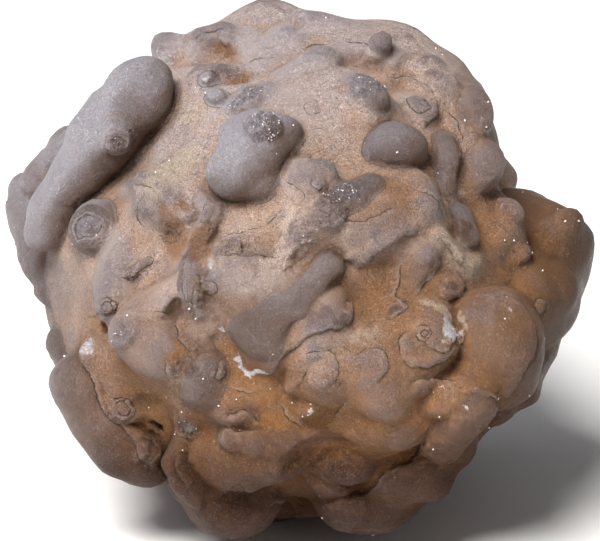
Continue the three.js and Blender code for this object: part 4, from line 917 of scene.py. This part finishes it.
def mark_lines(made, at, normal):
    """How near the crust edges and cracks are, on which side, and how far they lift the skin."""
    frayed = fray(at, 0.13)
    for run, facings, ends, step in traces:
        box = (at > run.min(0) - LINE_REACH).all(1) & (at < run.max(0) + LINE_REACH).all(1)
        near = np.nonzero(box)[0]
        if not len(near):
            continue
        gap = frayed[near][:, None, :] - run[None, :, :]
        first = np.minimum(np.argmin((gap**2).sum(2), axis=1), len(run) - 2)
        along = run[first + 1] - run[first]
        along /= np.linalg.norm(along, axis=1)[:, None] + 1e-9
        out = facings[first]
        gap = frayed[near] - run[first]
        depth = (gap * out).sum(1)
        left = (gap * np.cross(out, along)).sum(1)
        flat = np.sqrt(np.maximum((gap**2).sum(1) - depth**2, 0))
        signed = np.where(left > 0, 1.0, -1.0) * (1 if step >= 0 else -1) * flat
        turned = smooth(1 - (out * normal[near]).sum(1), 0.9, 0.5)
        shown = ends[first] * smooth(np.abs(depth), LINE_DEPTH, 0.8) * turned
        closer = (np.abs(signed) < np.abs(made["edge"][near])) & (shown > 0.05)
        made["edge"][near[closer]] = signed[closer]
        made["edge_strength"][near[closer]] = shown[closer]
        groove = smooth(np.abs(signed), 0.6, 0)
        rise = smooth(signed, -0.15, 0.35) * smooth(signed, LINE_REACH, 0.9) - 0.5 * groove
        made["lift"][near] += (abs(step) * rise if step else -0.12 * groove) * shown


def mark(at, normal):
    """Everything that the look needs at points of the skin, by name."""
    made = {name: np.zeros(len(at)) for name in ("brown", "lift", "edge_strength", "grey_tone") + KINDS}
    made["grey_rim"] = np.full(len(at), GREY_REACH)
    made["edge"] = np.full(len(at), LINE_REACH)
    mark_growths(made, at)
    mark_stains(made, at)
    mark_lines(made, at, normal)
    for name, reach in (("crevice", 1.2), ("hollow", 3.2)):
        made[name] = np.clip(1 - field(at + normal * reach) / reach, 0, 1)
    side = np.cross(normal, RIGHT + 0.01)
    side /= np.linalg.norm(side, axis=1)[:, None]
    other = np.cross(normal, side)
    ways = [side * math.cos(k * math.pi / 3) + other * math.sin(k * math.pi / 3) for k in range(6)]
    for name, reach in (("swelling", 1.6), ("mound", 4.5)):
        made[name] = sum(field(at + way * reach) for way in ways) / (6 * reach)
    return made


# The grown skin becomes a mesh, still of the same stone.
volume = openvdb.FloatGrid()
volume.copyFromArray(held.astype(np.float32))
points, quads = volume.convertToQuads(isovalue=0.0)
at = settle(low + points.astype(float) * CELL)
marks = mark(at, facing(at, SKIN_SPAN))
mesh = bpy.data.meshes.new("chalcedony")
mesh.from_pydata((at * MM).tolist(), [], quads.tolist())
nodule = bpy.data.objects.new("chalcedony_stone", mesh)
bpy.context.scene.collection.objects.link(nodule)


def keep_marks(mesh, marks):
    """Writes values per corner of the mesh, for its relief and its material."""
    for name, values in marks.items():
        layer = mesh.attributes.get(name) or mesh.attributes.new(name, "FLOAT", "POINT")
        layer.data.foreach_set("value", values.astype(np.float32))


def add_node(tree, kind, inputs, **settings):
    """Adds a node, fills its inputs by name or number with sockets or values, and gives its first output."""
    node = tree.nodes.new(kind)
    for name, value in settings.items():
        setattr(node, name, value)
    live = [socket for socket in node.inputs if socket.enabled]
    for name, value in inputs.items():
        socket = live[name] if isinstance(name, int) else next(s for s in live if s.name == name)
        if isinstance(value, bpy.types.NodeSocket):
            tree.links.new(value, socket)
        else:
            socket.default_value = value
    return next((socket for socket in node.outputs if socket.enabled), None)


def start_tree(name, sizes):
    """A Geometry Nodes tree with a named input for each size, and its inputs."""
    tree = bpy.data.node_groups.new(name, "GeometryNodeTree")
    tree.interface.new_socket("Geometry", in_out="INPUT", socket_type="NodeSocketGeometry")
    tree.interface.new_socket("Geometry", in_out="OUTPUT", socket_type="NodeSocketGeometry")
    for size in sizes:
        tree.interface.new_socket(size, in_out="INPUT", socket_type="NodeSocketFloat")
    return tree, add_node(tree, "NodeGroupInput", {}).node.outputs


def put_tree(piece, tree, sizes):
    """Puts a tree on a piece, with its inputs set by their identifiers."""
    modifier = piece.modifiers.new(tree.name, "NODES")
    modifier.node_group = tree
    for socket in tree.interface.items_tree:
        if socket.name in sizes:
            modifier[socket.identifier] = sizes[socket.name]


# Relief of the skin: slow waves, finer puckers, rubble where it is rough, and the steps of the crust edges.
RELIEF = {"Wave height": 0.4 * MM, "Pucker height": 0.2 * MM, "Rubble height": 5.0 * MM}
RUBBLE_LEVEL = 0.08
WAXY_CALM = 0.55  # how much flatter the waves are on the grey lumps
keep_marks(mesh, {name: marks[name] for name in ("lift", "druse", "rough", "crevice", "grey_rim")})
relief, given = start_tree("skin_relief", RELIEF)
place = add_node(relief, "GeometryNodeInputPosition", {})
place = add_node(relief, "ShaderNodeVectorMath", {"Vector": place, "Scale": 1 / MM}, operation="SCALE")
heights = []
for name, size, detail, roughness, distortion in (
    ("Wave height", 4.5, 2.0, 0.5, 0.6),
    ("Pucker height", 1.5, 2.0, 0.6, 0.9),
    ("Rubble height", 1.9, 3.0, 0.6, 1.2),
):
    settings = {"Scale": 1 / size, "Detail": detail, "Roughness": roughness, "Distortion": distortion}
    noise = add_node(relief, "ShaderNodeTexNoise", {"Vector": place, **settings})
    height = add_node(relief, "ShaderNodeMath", {0: noise, 1: 0.5}, operation="SUBTRACT")
    if name == "Rubble height":
        height = add_node(relief, "ShaderNodeMath", {0: height}, operation="ABSOLUTE")
        height = add_node(relief, "ShaderNodeMath", {0: height, 1: RUBBLE_LEVEL}, operation="SUBTRACT")
    heights.append(add_node(relief, "ShaderNodeMath", {0: height, 1: given[name]}, operation="MULTIPLY"))
rim = add_node(relief, "GeometryNodeInputNamedAttribute", {"Name": "grey_rim"}, data_type="FLOAT")
calm = add_node(relief, "ShaderNodeMath", {0: rim, 1: 0.2}, operation="LESS_THAN")
calm = add_node(relief, "ShaderNodeMath", {0: calm, 1: WAXY_CALM}, operation="MULTIPLY")
calm = add_node(relief, "ShaderNodeMath", {0: 1.0, 1: calm}, operation="SUBTRACT")
height = add_node(relief, "ShaderNodeMath", {0: heights[0], 1: heights[1]}, operation="ADD")
height = add_node(relief, "ShaderNodeMath", {0: height, 1: calm}, operation="MULTIPLY")
broken = 0.0
for name, share in (("druse", 0.6), ("rough", 1.0), ("crevice", 0.5)):
    part = add_node(relief, "GeometryNodeInputNamedAttribute", {"Name": name}, data_type="FLOAT")
    part = add_node(relief, "ShaderNodeMath", {0: part, 1: share}, operation="MULTIPLY")
    broken = add_node(relief, "ShaderNodeMath", {0: broken, 1: part}, operation="MAXIMUM")
lift = add_node(relief, "GeometryNodeInputNamedAttribute", {"Name": "lift"}, data_type="FLOAT")
for value, factor in ((heights[2], broken), (lift, MM)):
    part = add_node(relief, "ShaderNodeMath", {0: value, 1: factor}, operation="MULTIPLY")
    height = add_node(relief, "ShaderNodeMath", {0: height, 1: part}, operation="ADD")
outwards = add_node(relief, "GeometryNodeInputNormal", {})
offset = add_node(relief, "ShaderNodeVectorMath", {"Vector": outwards, "Scale": height}, operation="SCALE")
raised = add_node(relief, "GeometryNodeSetPosition", {"Geometry": given["Geometry"], "Offset": offset})
add_node(relief, "NodeGroupOutput", {0: raised})
put_tree(nodule, relief, RELIEF)

# Fewer faces where the stone is plain, and more on the show face.
SKIN_FACES = 196_000
toward = facing(at, SKIN_SPAN) @ OUT
group = nodule.vertex_groups.new(name="front")
for share, members in ((1.0, toward > 0.1), (0.35, toward <= 0.1)):
    group.add(np.nonzero(members)[0].tolist(), share, "REPLACE")
reduce = nodule.modifiers.new("reduce", "DECIMATE")
reduce.ratio = min(1, SKIN_FACES / (2 * len(quads)))
reduce.vertex_group = "front"
reduce.invert_vertex_group = True
reduce.use_collapse_triangulate = True


def settle_mesh(piece):
    """Turns a piece with live modifiers into a plain mesh, and drops the modifiers."""
    graph = bpy.context.evaluated_depsgraph_get()
    ready = piece.evaluated_get(graph)
    made = bpy.data.meshes.new_from_object(ready, preserve_all_data_layers=True, depsgraph=graph)
    piece.modifiers.clear()
    piece.data = made
    return made


FLAT_BELOW = 0.08 * MM  # what is lower than this rests on the table
mesh = settle_mesh(nodule)
at = np.zeros(len(mesh.vertices) * 3)
mesh.vertices.foreach_get("co", at)
at = at.reshape(-1, 3)
at[:, 2] = np.where(at[:, 2] < FLAT_BELOW, 0, at[:, 2])
mesh.vertices.foreach_set("co", at.ravel())
at = at / MM
marks = mark(at, facing(at, SKIN_SPAN))
keep_marks(mesh, marks)
mesh.shade_smooth()
print("nodule", len(mesh.polygons), "faces")


# Waxy chalcedony: fine-grained quartz, tan where iron has stained it and lilac-grey on the cleaner lumps.
def colour(hexed):
    """An sRGB hex colour as the linear colour that a shader takes."""
    parts = [int(hexed[i : i + 2], 16) / 255 for i in (1, 3, 5)]
    return tuple(p / 12.92 if p <= 0.04045 else ((p + 0.055) / 1.055) ** 2.4 for p in parts) + (1.0,)


def share_of(*parts):
    """Parts multiplied together. A part is a number, a reading, or a reading eased from 0 at one value to 1
    at another, or between two other shares, as (reading, value, other value, share, other share)."""
    share = None
    for part in parts:
        if isinstance(part, tuple):
            reading, start, end, low, high = (part + (0.0, 1.0))[:5]
            if start > end:
                start, end, low, high = end, start, high, low
            span = {"From Min": start, "From Max": end, "To Min": low, "To Max": high}
            span["Value"] = reading
            part = add_node(tree, "ShaderNodeMapRange", span, interpolation_type="SMOOTHSTEP")
        if share is None:
            share = part
        else:
            share = add_node(tree, "ShaderNodeMath", {0: share, 1: part}, operation="MULTIPLY")
    return share


def ragged(reading, noise, amount):
    """A reading moved up and down by a noise, so that edges read from it are uneven."""
    nudge = add_node(tree, "ShaderNodeMath", {0: noise, 1: 0.5}, operation="SUBTRACT")
    nudge = add_node(tree, "ShaderNodeMath", {0: nudge, 1: amount}, operation="MULTIPLY")
    return add_node(tree, "ShaderNodeMath", {0: reading, 1: nudge}, operation="ADD")


def coated(base, *coats):
    """A colour under coats laid on in turn. A coat is its colour, and the parts that its share is made of."""
    for top, *parts in coats:
        under, top = (colour(one) if isinstance(one, str) else one for one in (base, top))
        layers = {"Factor": share_of(*parts), "A": under, "B": top}
        base = add_node(tree, "ShaderNodeMix", layers, data_type="RGBA")
    return base


stone = bpy.data.materials.new("waxy_chalcedony")
stone.use_nodes = True
tree = stone.node_tree
tree.nodes.clear()
place = add_node(tree, "ShaderNodeTexCoord", {}).node.outputs["Object"]
place = add_node(tree, "ShaderNodeVectorMath", {"Vector": place, "Scale": 1 / MM}, operation="SCALE")
cloud, mottle, wrinkle, sugar, fold, crinkle = (
    add_node(
        tree,
        "ShaderNodeTexNoise",
        {"Vector": place, "Scale": 1 / size, "Detail": detail, "Roughness": roughness, "Distortion": bend},
    )
    for size, detail, roughness, bend in (  # the size of their features is in millimetres
        (14.0, 3.0, 0.55, 0.8),
        (4.0, 4.0, 0.6, 1.2),
        (1.3, 4.0, 0.62, 1.6),
        (0.32, 2.0, 0.75, 0.0),
        (0.5, 3.0, 0.62, 1.5),
        (2.2, 3.0, 0.5, 2.2),
    )
)
fold, crinkle = (
    add_node(tree, "ShaderNodeMath", {0: ragged(0.0, noise, 2.0)}, operation="ABSOLUTE")
    for noise in (fold, crinkle)
)
GRIT_SIZE = 0.9
grit = add_node(tree, "ShaderNodeTexVoronoi", {"Vector": place, "Scale": 1 / GRIT_SIZE})
kept = {
    name: add_node(tree, "ShaderNodeAttribute", {}, attribute_name=name).node.outputs["Fac"]
    for name in marks
    if name != "lift"
}
rim, tone, rough = kept["grey_rim"], kept["grey_tone"], kept["rough"]
crinkle = share_of((crinkle, 0.05, 0.0), (mottle, 0.4, 0.55), (rim, 0.1, 0.5))

# Colour runs from pale at the upper left to brown at the lower right, partly the stone's own weathering and
# partly painted light and shade; undersides are browner, which is painted shade.
HALF_STONE = 42
FADE_WAY = np.array([-0.42, -0.12, 0.9]) / HALF_STONE
LOWER_RIGHT = RIGHT - UP * 0.4
PAINTED_LIGHT_WAY = (-0.68, -0.15, 0.72)
from_middle = add_node(tree, "ShaderNodeVectorMath", {0: place, 1: MIDDLE}, operation="SUBTRACT")
fade, leftward, upright, outward = (
    add_node(tree, "ShaderNodeVectorMath", {0: from_middle, 1: way}, operation="DOT_PRODUCT")
    for way in (FADE_WAY, -RIGHT, UP, LOWER_RIGHT)
)
weather_and_shade = ragged(fade, cloud, 1.7)
outwards = add_node(tree, "ShaderNodeNewGeometry", {}).node.outputs["Normal"]
painted_light_facing = add_node(tree, "ShaderNodeVectorMath", {0: outwards, 1: PAINTED_LIGHT_WAY}, operation="DOT_PRODUCT")
painted_light_facing = ragged(painted_light_facing, mottle, 0.5)
cool = share_of((weather_and_shade, -0.3, 0.6, 0.3, 1.0))
dry = share_of((weather_and_shade, -0.75, 0.3, 0.3, 1.0))

# Growths stand out lilac-grey, and what lies between them is stained by iron.
swelling = ragged(kept["swelling"], wrinkle, 0.4)
mound = ragged(kept["mound"], mottle, 0.6)
tan = coated(
    "#2a1c12",
    ("#966b47", (weather_and_shade, -1.1, -0.2)),  # brown, then tan; the dark brown at the lower right is partly painted shade
    ("#d6bfb3", (weather_and_shade, 0.0, 0.9)),  # pale at the upper left, partly painted light
    ("#5f432c", (painted_light_facing, 0.3, -0.5), 0.6),  # painted shade on the undersides
    ("#7a625e", (mottle, 0.5, 0.72, 0.0, 0.5), cool),  # mauve mottling
    ("#bb9c86", (mottle, 0.46, 0.25, 0.0, 0.4)),  # pale mottling
    ("#857a7e", (leftward, 24.0, 44.0, 0.0, 0.7)),  # greyer at the left
    ("#beb2b5", (fade, 0.5, 0.9, 0.0, 0.6)),  # paler at the top, partly frost and partly painted light
    ("#84777a", (mound, 0.06, 0.36), cool, 0.8),  # wide growths
    ("#8c8084", (swelling, 0.06, 0.3), cool, 0.5),  # narrow growths
    (coated("#906234", ("#c09c84", (weather_and_shade, -0.1, 0.7))), (mound, 0.05, -0.22), 0.7),
    ("#6d4a2e", (swelling, -0.04, -0.24), (weather_and_shade, 0.4, -0.3, 0.15, 0.65)),
)

# The lilac-grey lumps, with a thin dark line round them. Their pale bluish tops and their brown undersides
# are painted light and shade, and their darkening towards the lower right is partly their own tone and partly
# painted shade.
grey = coated(
    "#2b2220",
    ("#5c504c", (weather_and_shade, -1.1, 0.1)),
    ("#7f7679", (weather_and_shade, 0.0, 0.7)),
    ("#a39fa7", (fade, 0.5, 0.95)),
)
# Painted light and shade: the grey is kept on sides turned to the light and goes brown on those turned away.
grey = coated("#604637", (grey, (painted_light_facing, -0.45, 0.75)))
crisp = share_of((ragged(rim, wrinkle, 0.3), 0.42, 0.18), tone)
fuzzy = share_of((ragged(rim, mottle, 3.0), 0.9, -0.5), tone)
clean = coated(fuzzy, (crisp, (tone, 0.75, 0.95)))
seam = share_of((rim, 0.28, 0.38), (rim, 0.6, 0.45), (tone, 0.75, 0.95))

# Stains and crusts, and the thin dark lines of crust edges and cracks with a paler lip on the raised side,
# partly pale crust and partly a painted highlight.
STAINS = (
    ("brown", "#402f24", 0.75),
    ("cream", "#d0bca6", 0.72),
    ("dark", "#503727", 0.8),
    ("orange", "#96683a", 0.75),
)
sparkly = share_of((kept["druse"], 0.1, 0.6))
crusty = share_of((ragged(rough, wrinkle, 0.8), 0.25, 0.75))
edge = ragged(kept["edge"], wrinkle, 0.5)
nearness = add_node(tree, "ShaderNodeMath", {0: edge}, operation="ABSOLUTE")
shown = share_of(kept["edge_strength"], (mottle, 0.36, 0.56, 0.15, 1.0))
line = share_of((nearness, 0.15, 0.03), shown)
stained = [
    (hexed, (ragged(kept[name], mottle, 1.6), 0.1, 1.0), (kept[name], 0.02, 0.7), most)
    for name, hexed, most in STAINS
]
skin = coated(
    tan,
    (grey, clean),
    ("#8f5e35", (kept["hollow"], 0.35, 0.8), (weather_and_shade, 0.5, -0.2, 0.15, 0.45)),  # iron in hollows
    ("#5a3820", (kept["crevice"], 0.15, 0.6), 0.45),  # painted shade in crevices
    *stained,
    ("#d2cdce", (ragged(kept["snow"], wrinkle, 1.8), 0.35, 0.9), (kept["snow"], 0.05, 0.5)),  # frost
    ("#9a9196", crusty, (fold, 0.12, 0.4), 0.45),  # grains of rough crust
    ("#70503a", crusty, (fold, 0.14, 0.02), 0.6),  # and what lies between them
    ("#544c4e", sparkly, (wrinkle, 0.35, 0.6, 0.15, 0.6)),  # bed of the quartz druse
    ("#ab9c8f", (edge, 0.08, 0.22), (edge, 0.9, 0.3), shown, 0.4),  # pale lip, partly pale crust and partly painted highlight
    ("#2e1e15", line, 0.85),
    ("#38261c", seam, 0.6),
)

# Painted shade near the ground and to the right, then fine creases, sugary grain, and white specks of quartz
# dust.
skin = coated(
    skin,
    # painted shade: darker near the ground, then to the lower right
    ("#331a0e", (upright, -22.0, -34.0, 0.0, 0.75)),
    ("#352212", (outward, 32.0, 46.0, 0.0, 0.75)),
    ("#46301f", (fold, 0.09, 0.01), (rim, -0.3, 0.4, 0.35, 1.0), dry, 0.65),  # creases
    ("#3c281c", crinkle, 0.45),
    ("#dccfc4", (fold, 0.3, 0.6), dry, 0.25),  # pale between the creases
    ("#271b15", (sugar, 0.49, 0.3, 0.0, 0.44), (rim, 0.1, 0.5, 0.6, 1.0), dry),  # dark grains
    ("#d0c9c6", (sugar, 0.55, 0.75, 0.0, 0.3), (rim, 0.1, 0.5, 0.6, 1.0), dry),  # pale grains
    ("#cec9c6", (grit, 0.14, 0.05), (wrinkle, 0.57, 0.66), 0.7),  # quartz dust
)

# The fine relief of the same things. The skin is smoother and glossier where it is least weathered, and
# takes less shine near the ground and to the right.
bumps = 0.0
for parts in (
    (wrinkle, 0.5, (rim, 0.1, 0.4, 0.3, 1.0), dry),
    (sugar, 0.3, (rim, 0.1, 0.5, 0.7, 1.0), dry),
    (fold, 0.95, dry),
    (line, -0.15),
    (crinkle, -0.15),
    (grit, sparkly, -0.45),
    (fold, crusty, 0.5),
):
    bumps = add_node(tree, "ShaderNodeMath", {0: bumps, 1: share_of(*parts)}, operation="ADD")
finish = {
    "Base Color": skin,
    "Roughness": share_of((rim, 0.1, 0.5, 0.4, 0.52), (weather_and_shade, -0.7, 0.2, 0.65, 1.0)),
    "IOR": 1.54,
    "Specular IOR Level": share_of((upright, -12.0, -30.0, 0.5, 0.1), (outward, 28.0, 42.0, 1.0, 0.3)),
    "Subsurface Weight": 0.2,
    "Subsurface Radius": (1.0, 0.6, 0.4),
    "Subsurface Scale": 2.6 * MM,
    "Normal": add_node(tree, "ShaderNodeBump", {"Strength": 1.0, "Distance": MM, "Height": bumps}),
}
add_node(tree, "ShaderNodeOutputMaterial", {"Surface": add_node(tree, "ShaderNodeBsdfPrincipled", finish)})
mesh.materials.clear()
mesh.materials.append(stone)

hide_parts(NODE)
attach(nodule, "root")

# ---- Quartz druse -----------------------------------------------------------------------------------------
# Sugar-fine quartz crystals that grew last, in crusts on a few lumps and craters and singly over the rest.
# Each is a six-sided prism with a pointed end, and glitters.
CRYSTAL_FOOT, CRYSTAL_SHOULDER, CRYSTAL_TIP = -0.4, 0.45, 0.95  # of its width
TILT = 0.6  # at most, in radians
SPIN = 6.28
WIDTHS = (0.4, 1.3)  # smallest and largest, of the usual width
GLINT_SIZE = 0.8
CLUMP_SIZE = 9 * MM
CLUMP_LEVEL = 0.55
CRUST_START = 0.25
CRUST_GAIN = 1.6
BARE_FOOT = 1.5 * MM  # none grow lower than this
GROWTH = {"Crust density": 3.6 / MM**2, "Stray density": 0.03 / MM**2, "Crystal width": 0.24 * MM}

corners = [(math.cos(math.pi * k / 3) / 2, math.sin(math.pi * k / 3) / 2) for k in range(6)]
crystal_points = [(x, y, z) for z in (CRYSTAL_FOOT, CRYSTAL_SHOULDER) for x, y in corners]
crystal_faces = [tuple(range(5, -1, -1))]
crystal_faces += [(k, (k + 1) % 6, 6 + (k + 1) % 6, 6 + k) for k in range(6)]
crystal_faces += [(6 + k, 6 + (k + 1) % 6, 12) for k in range(6)]
crystal_mesh = bpy.data.meshes.new("quartz_crystal")
crystal_mesh.from_pydata(crystal_points + [(0, 0, CRYSTAL_TIP)], [], crystal_faces)
crystal = bpy.data.objects.new("quartz_crystal", crystal_mesh)
bpy.context.scene.collection.objects.link(crystal)

# Quartz: pale where crystals stand singly, and in greyer and paler patches on the crusts, the paler patches
# being painted glints.
quartz = bpy.data.materials.new("quartz_druse")
quartz.use_nodes = True
tree = quartz.node_tree
place = add_node(tree, "ShaderNodeTexCoord", {}).node.outputs["Object"]
place = add_node(tree, "ShaderNodeVectorMath", {"Vector": place, "Scale": 1 / MM}, operation="SCALE")
grain = add_node(tree, "ShaderNodeTexNoise", {"Vector": place, "Scale": 1 / GLINT_SIZE, "Detail": 2.0})
crusted = add_node(tree, "ShaderNodeAttribute", {}, attribute_name="druse").node.outputs["Fac"]
# painted glints: paler patches among the grey crust crystals
glint = coated("#665e61", ("#bdb6b9", (grain, 0.48, 0.64)))
shader = tree.nodes["Principled BSDF"]
tree.links.new(coated("#cbc4c1", (glint, (crusted, 0.02, 0.15))), shader.inputs["Base Color"])
shader.inputs["Roughness"].default_value = 0.25
shader.inputs["IOR"].default_value = 1.54

# Crystals are sown thickly on the crusts and in rare clumps elsewhere, each tilted and of its own size.
sowing, given = start_tree("druse_growth", GROWTH)
clumps = add_node(sowing, "ShaderNodeTexNoise", {"Scale": 1 / CLUMP_SIZE, "Detail": 2.0})
clumps = add_node(sowing, "ShaderNodeMath", {0: clumps, 1: CLUMP_LEVEL}, operation="GREATER_THAN")
clumps = add_node(sowing, "ShaderNodeMath", {0: clumps, 1: given["Stray density"]}, operation="MULTIPLY")
crust = add_node(sowing, "GeometryNodeInputNamedAttribute", {"Name": "druse"}, data_type="FLOAT")
crust = add_node(sowing, "ShaderNodeMath", {0: crust, 1: CRUST_START}, operation="SUBTRACT")
crust = add_node(sowing, "ShaderNodeMath", {0: crust, 1: CRUST_GAIN}, operation="MULTIPLY", use_clamp=True)
crust = add_node(sowing, "ShaderNodeMath", {0: crust, 1: given["Crust density"]}, operation="MULTIPLY")
density = add_node(sowing, "ShaderNodeMath", {0: crust, 1: clumps}, operation="ADD")
spot = add_node(sowing, "GeometryNodeInputPosition", {})
spot_z = add_node(sowing, "ShaderNodeSeparateXYZ", {0: spot}).node.outputs[2]
clear = add_node(sowing, "ShaderNodeMath", {0: spot_z, 1: BARE_FOOT}, operation="GREATER_THAN")
density = add_node(sowing, "ShaderNodeMath", {0: density, 1: clear}, operation="MULTIPLY")
sown = {"Mesh": given["Geometry"], "Density": density, "Seed": 7}
sown = add_node(sowing, "GeometryNodeDistributePointsOnFaces", sown)
tilt = {"Min": (-TILT, -TILT, 0.0), "Max": (TILT, TILT, SPIN), "Seed": 3}
tilt = add_node(sowing, "FunctionNodeRandomValue", tilt, data_type="FLOAT_VECTOR")
tilt = add_node(sowing, "FunctionNodeEulerToRotation", {0: tilt})
turned = {"Rotation": sown.node.outputs["Rotation"], "Rotate By": tilt}
turned = add_node(sowing, "FunctionNodeRotateRotation", turned, rotation_space="LOCAL")
width = {"Min": WIDTHS[0], "Max": WIDTHS[1], "Seed": 5}
width = add_node(sowing, "FunctionNodeRandomValue", width, data_type="FLOAT")
width = add_node(sowing, "ShaderNodeMath", {0: width, 1: given["Crystal width"]}, operation="MULTIPLY")
single = add_node(sowing, "GeometryNodeObjectInfo", {"Object": crystal}).node.outputs["Geometry"]
stood = {"Points": sown, "Instance": single, "Rotation": turned, "Scale": width}
stood = add_node(sowing, "GeometryNodeInstanceOnPoints", stood)
real = add_node(sowing, "GeometryNodeRealizeInstances", {"Geometry": stood})
real = add_node(sowing, "GeometryNodeSetMaterial", {"Geometry": real, "Material": quartz})
add_node(sowing, "NodeGroupOutput", {0: real})

druse = bpy.data.objects.new("quartz_druse", mesh.copy())
bpy.context.scene.collection.objects.link(druse)
put_tree(druse, sowing, GROWTH)
crystals = settle_mesh(druse)
bpy.data.objects.remove(crystal)
print("druse", len(crystals.polygons), "faces")
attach(druse, "root")

# ---- Table, light and camera ------------------------------------------------------------------------------
# A plain pale table, one large soft window light from the upper left, and a camera at arm's length.
FRAME_WIDTH = 97.3 * MM
SENSOR = 36.0
VIEW_SHIFT = (2 / 600, -0.5 / 600)  # of the frame's width
LIGHT_DISTANCE = 0.8

table_mesh = bpy.data.meshes.new("table")
table_mesh.from_pydata([(-3, -3, 0), (3, -3, 0), (3, 6, 0), (-3, 6, 0)], [], [(0, 1, 2, 3)])
table = bpy.data.objects.new("table", table_mesh)
bpy.context.scene.collection.objects.link(table)
paper = bpy.data.materials.new("white_paper")
paper.use_nodes = True
paper.node_tree.nodes["Principled BSDF"].inputs["Base Color"].default_value = colour("#f4f3f2")
paper.node_tree.nodes["Principled BSDF"].inputs["Roughness"].default_value = 0.9
table_mesh.materials.append(paper)

world = bpy.data.worlds.new("room")
world.use_nodes = True
world.node_tree.nodes["Background"].inputs["Color"].default_value = colour("#eef0f4")
world.node_tree.nodes["Background"].inputs["Strength"].default_value = 0.2
bpy.context.scene.world = world


def soft_light(name, way, distance, size, power, hexed):
    """A round soft light that looks at the middle of the stone."""
    data = bpy.data.lights.new(name, "AREA")
    data.shape = "DISK"
    data.size = size
    data.energy = power
    data.color = colour(hexed)[:3]
    light = bpy.data.objects.new(name, data)
    light.location = Vector(MIDDLE * MM) + Vector(way).normalized() * distance
    light.rotation_euler = (-Vector(way)).to_track_quat("-Z", "Y").to_euler()
    bpy.context.scene.collection.objects.link(light)


soft_light("window", (-0.38, -0.74, 1.14), LIGHT_DISTANCE, 0.46, 16.4, "#fffdfa")
soft_light("sky", (-0.9, 0.35, 0.75), LIGHT_DISTANCE, 0.5, 0.8, "#eef1fa")
soft_light("lamp", (0.7, -0.9, 0.2), 1.0, 0.6, 0.4, "#ffe4c8")

lens = bpy.data.cameras.new("camera")
lens.lens = SENSOR * ARM_LENGTH * MM / FRAME_WIDTH
lens.sensor_width = SENSOR
lens.shift_x, lens.shift_y = VIEW_SHIFT
lens.clip_start = 0.01
lens.clip_end = 20
camera = bpy.data.objects.new("camera", lens)
camera.location = Vector((MIDDLE + OUT * ARM_LENGTH) * MM)
camera.rotation_euler = Vector(-OUT).to_track_quat("-Z", "Y").to_euler()
bpy.context.scene.collection.objects.link(camera)
bpy.context.scene.camera = camera
bpy.context.scene.view_settings.view_transform = "Standard"

bpy.context.view_layer.update()
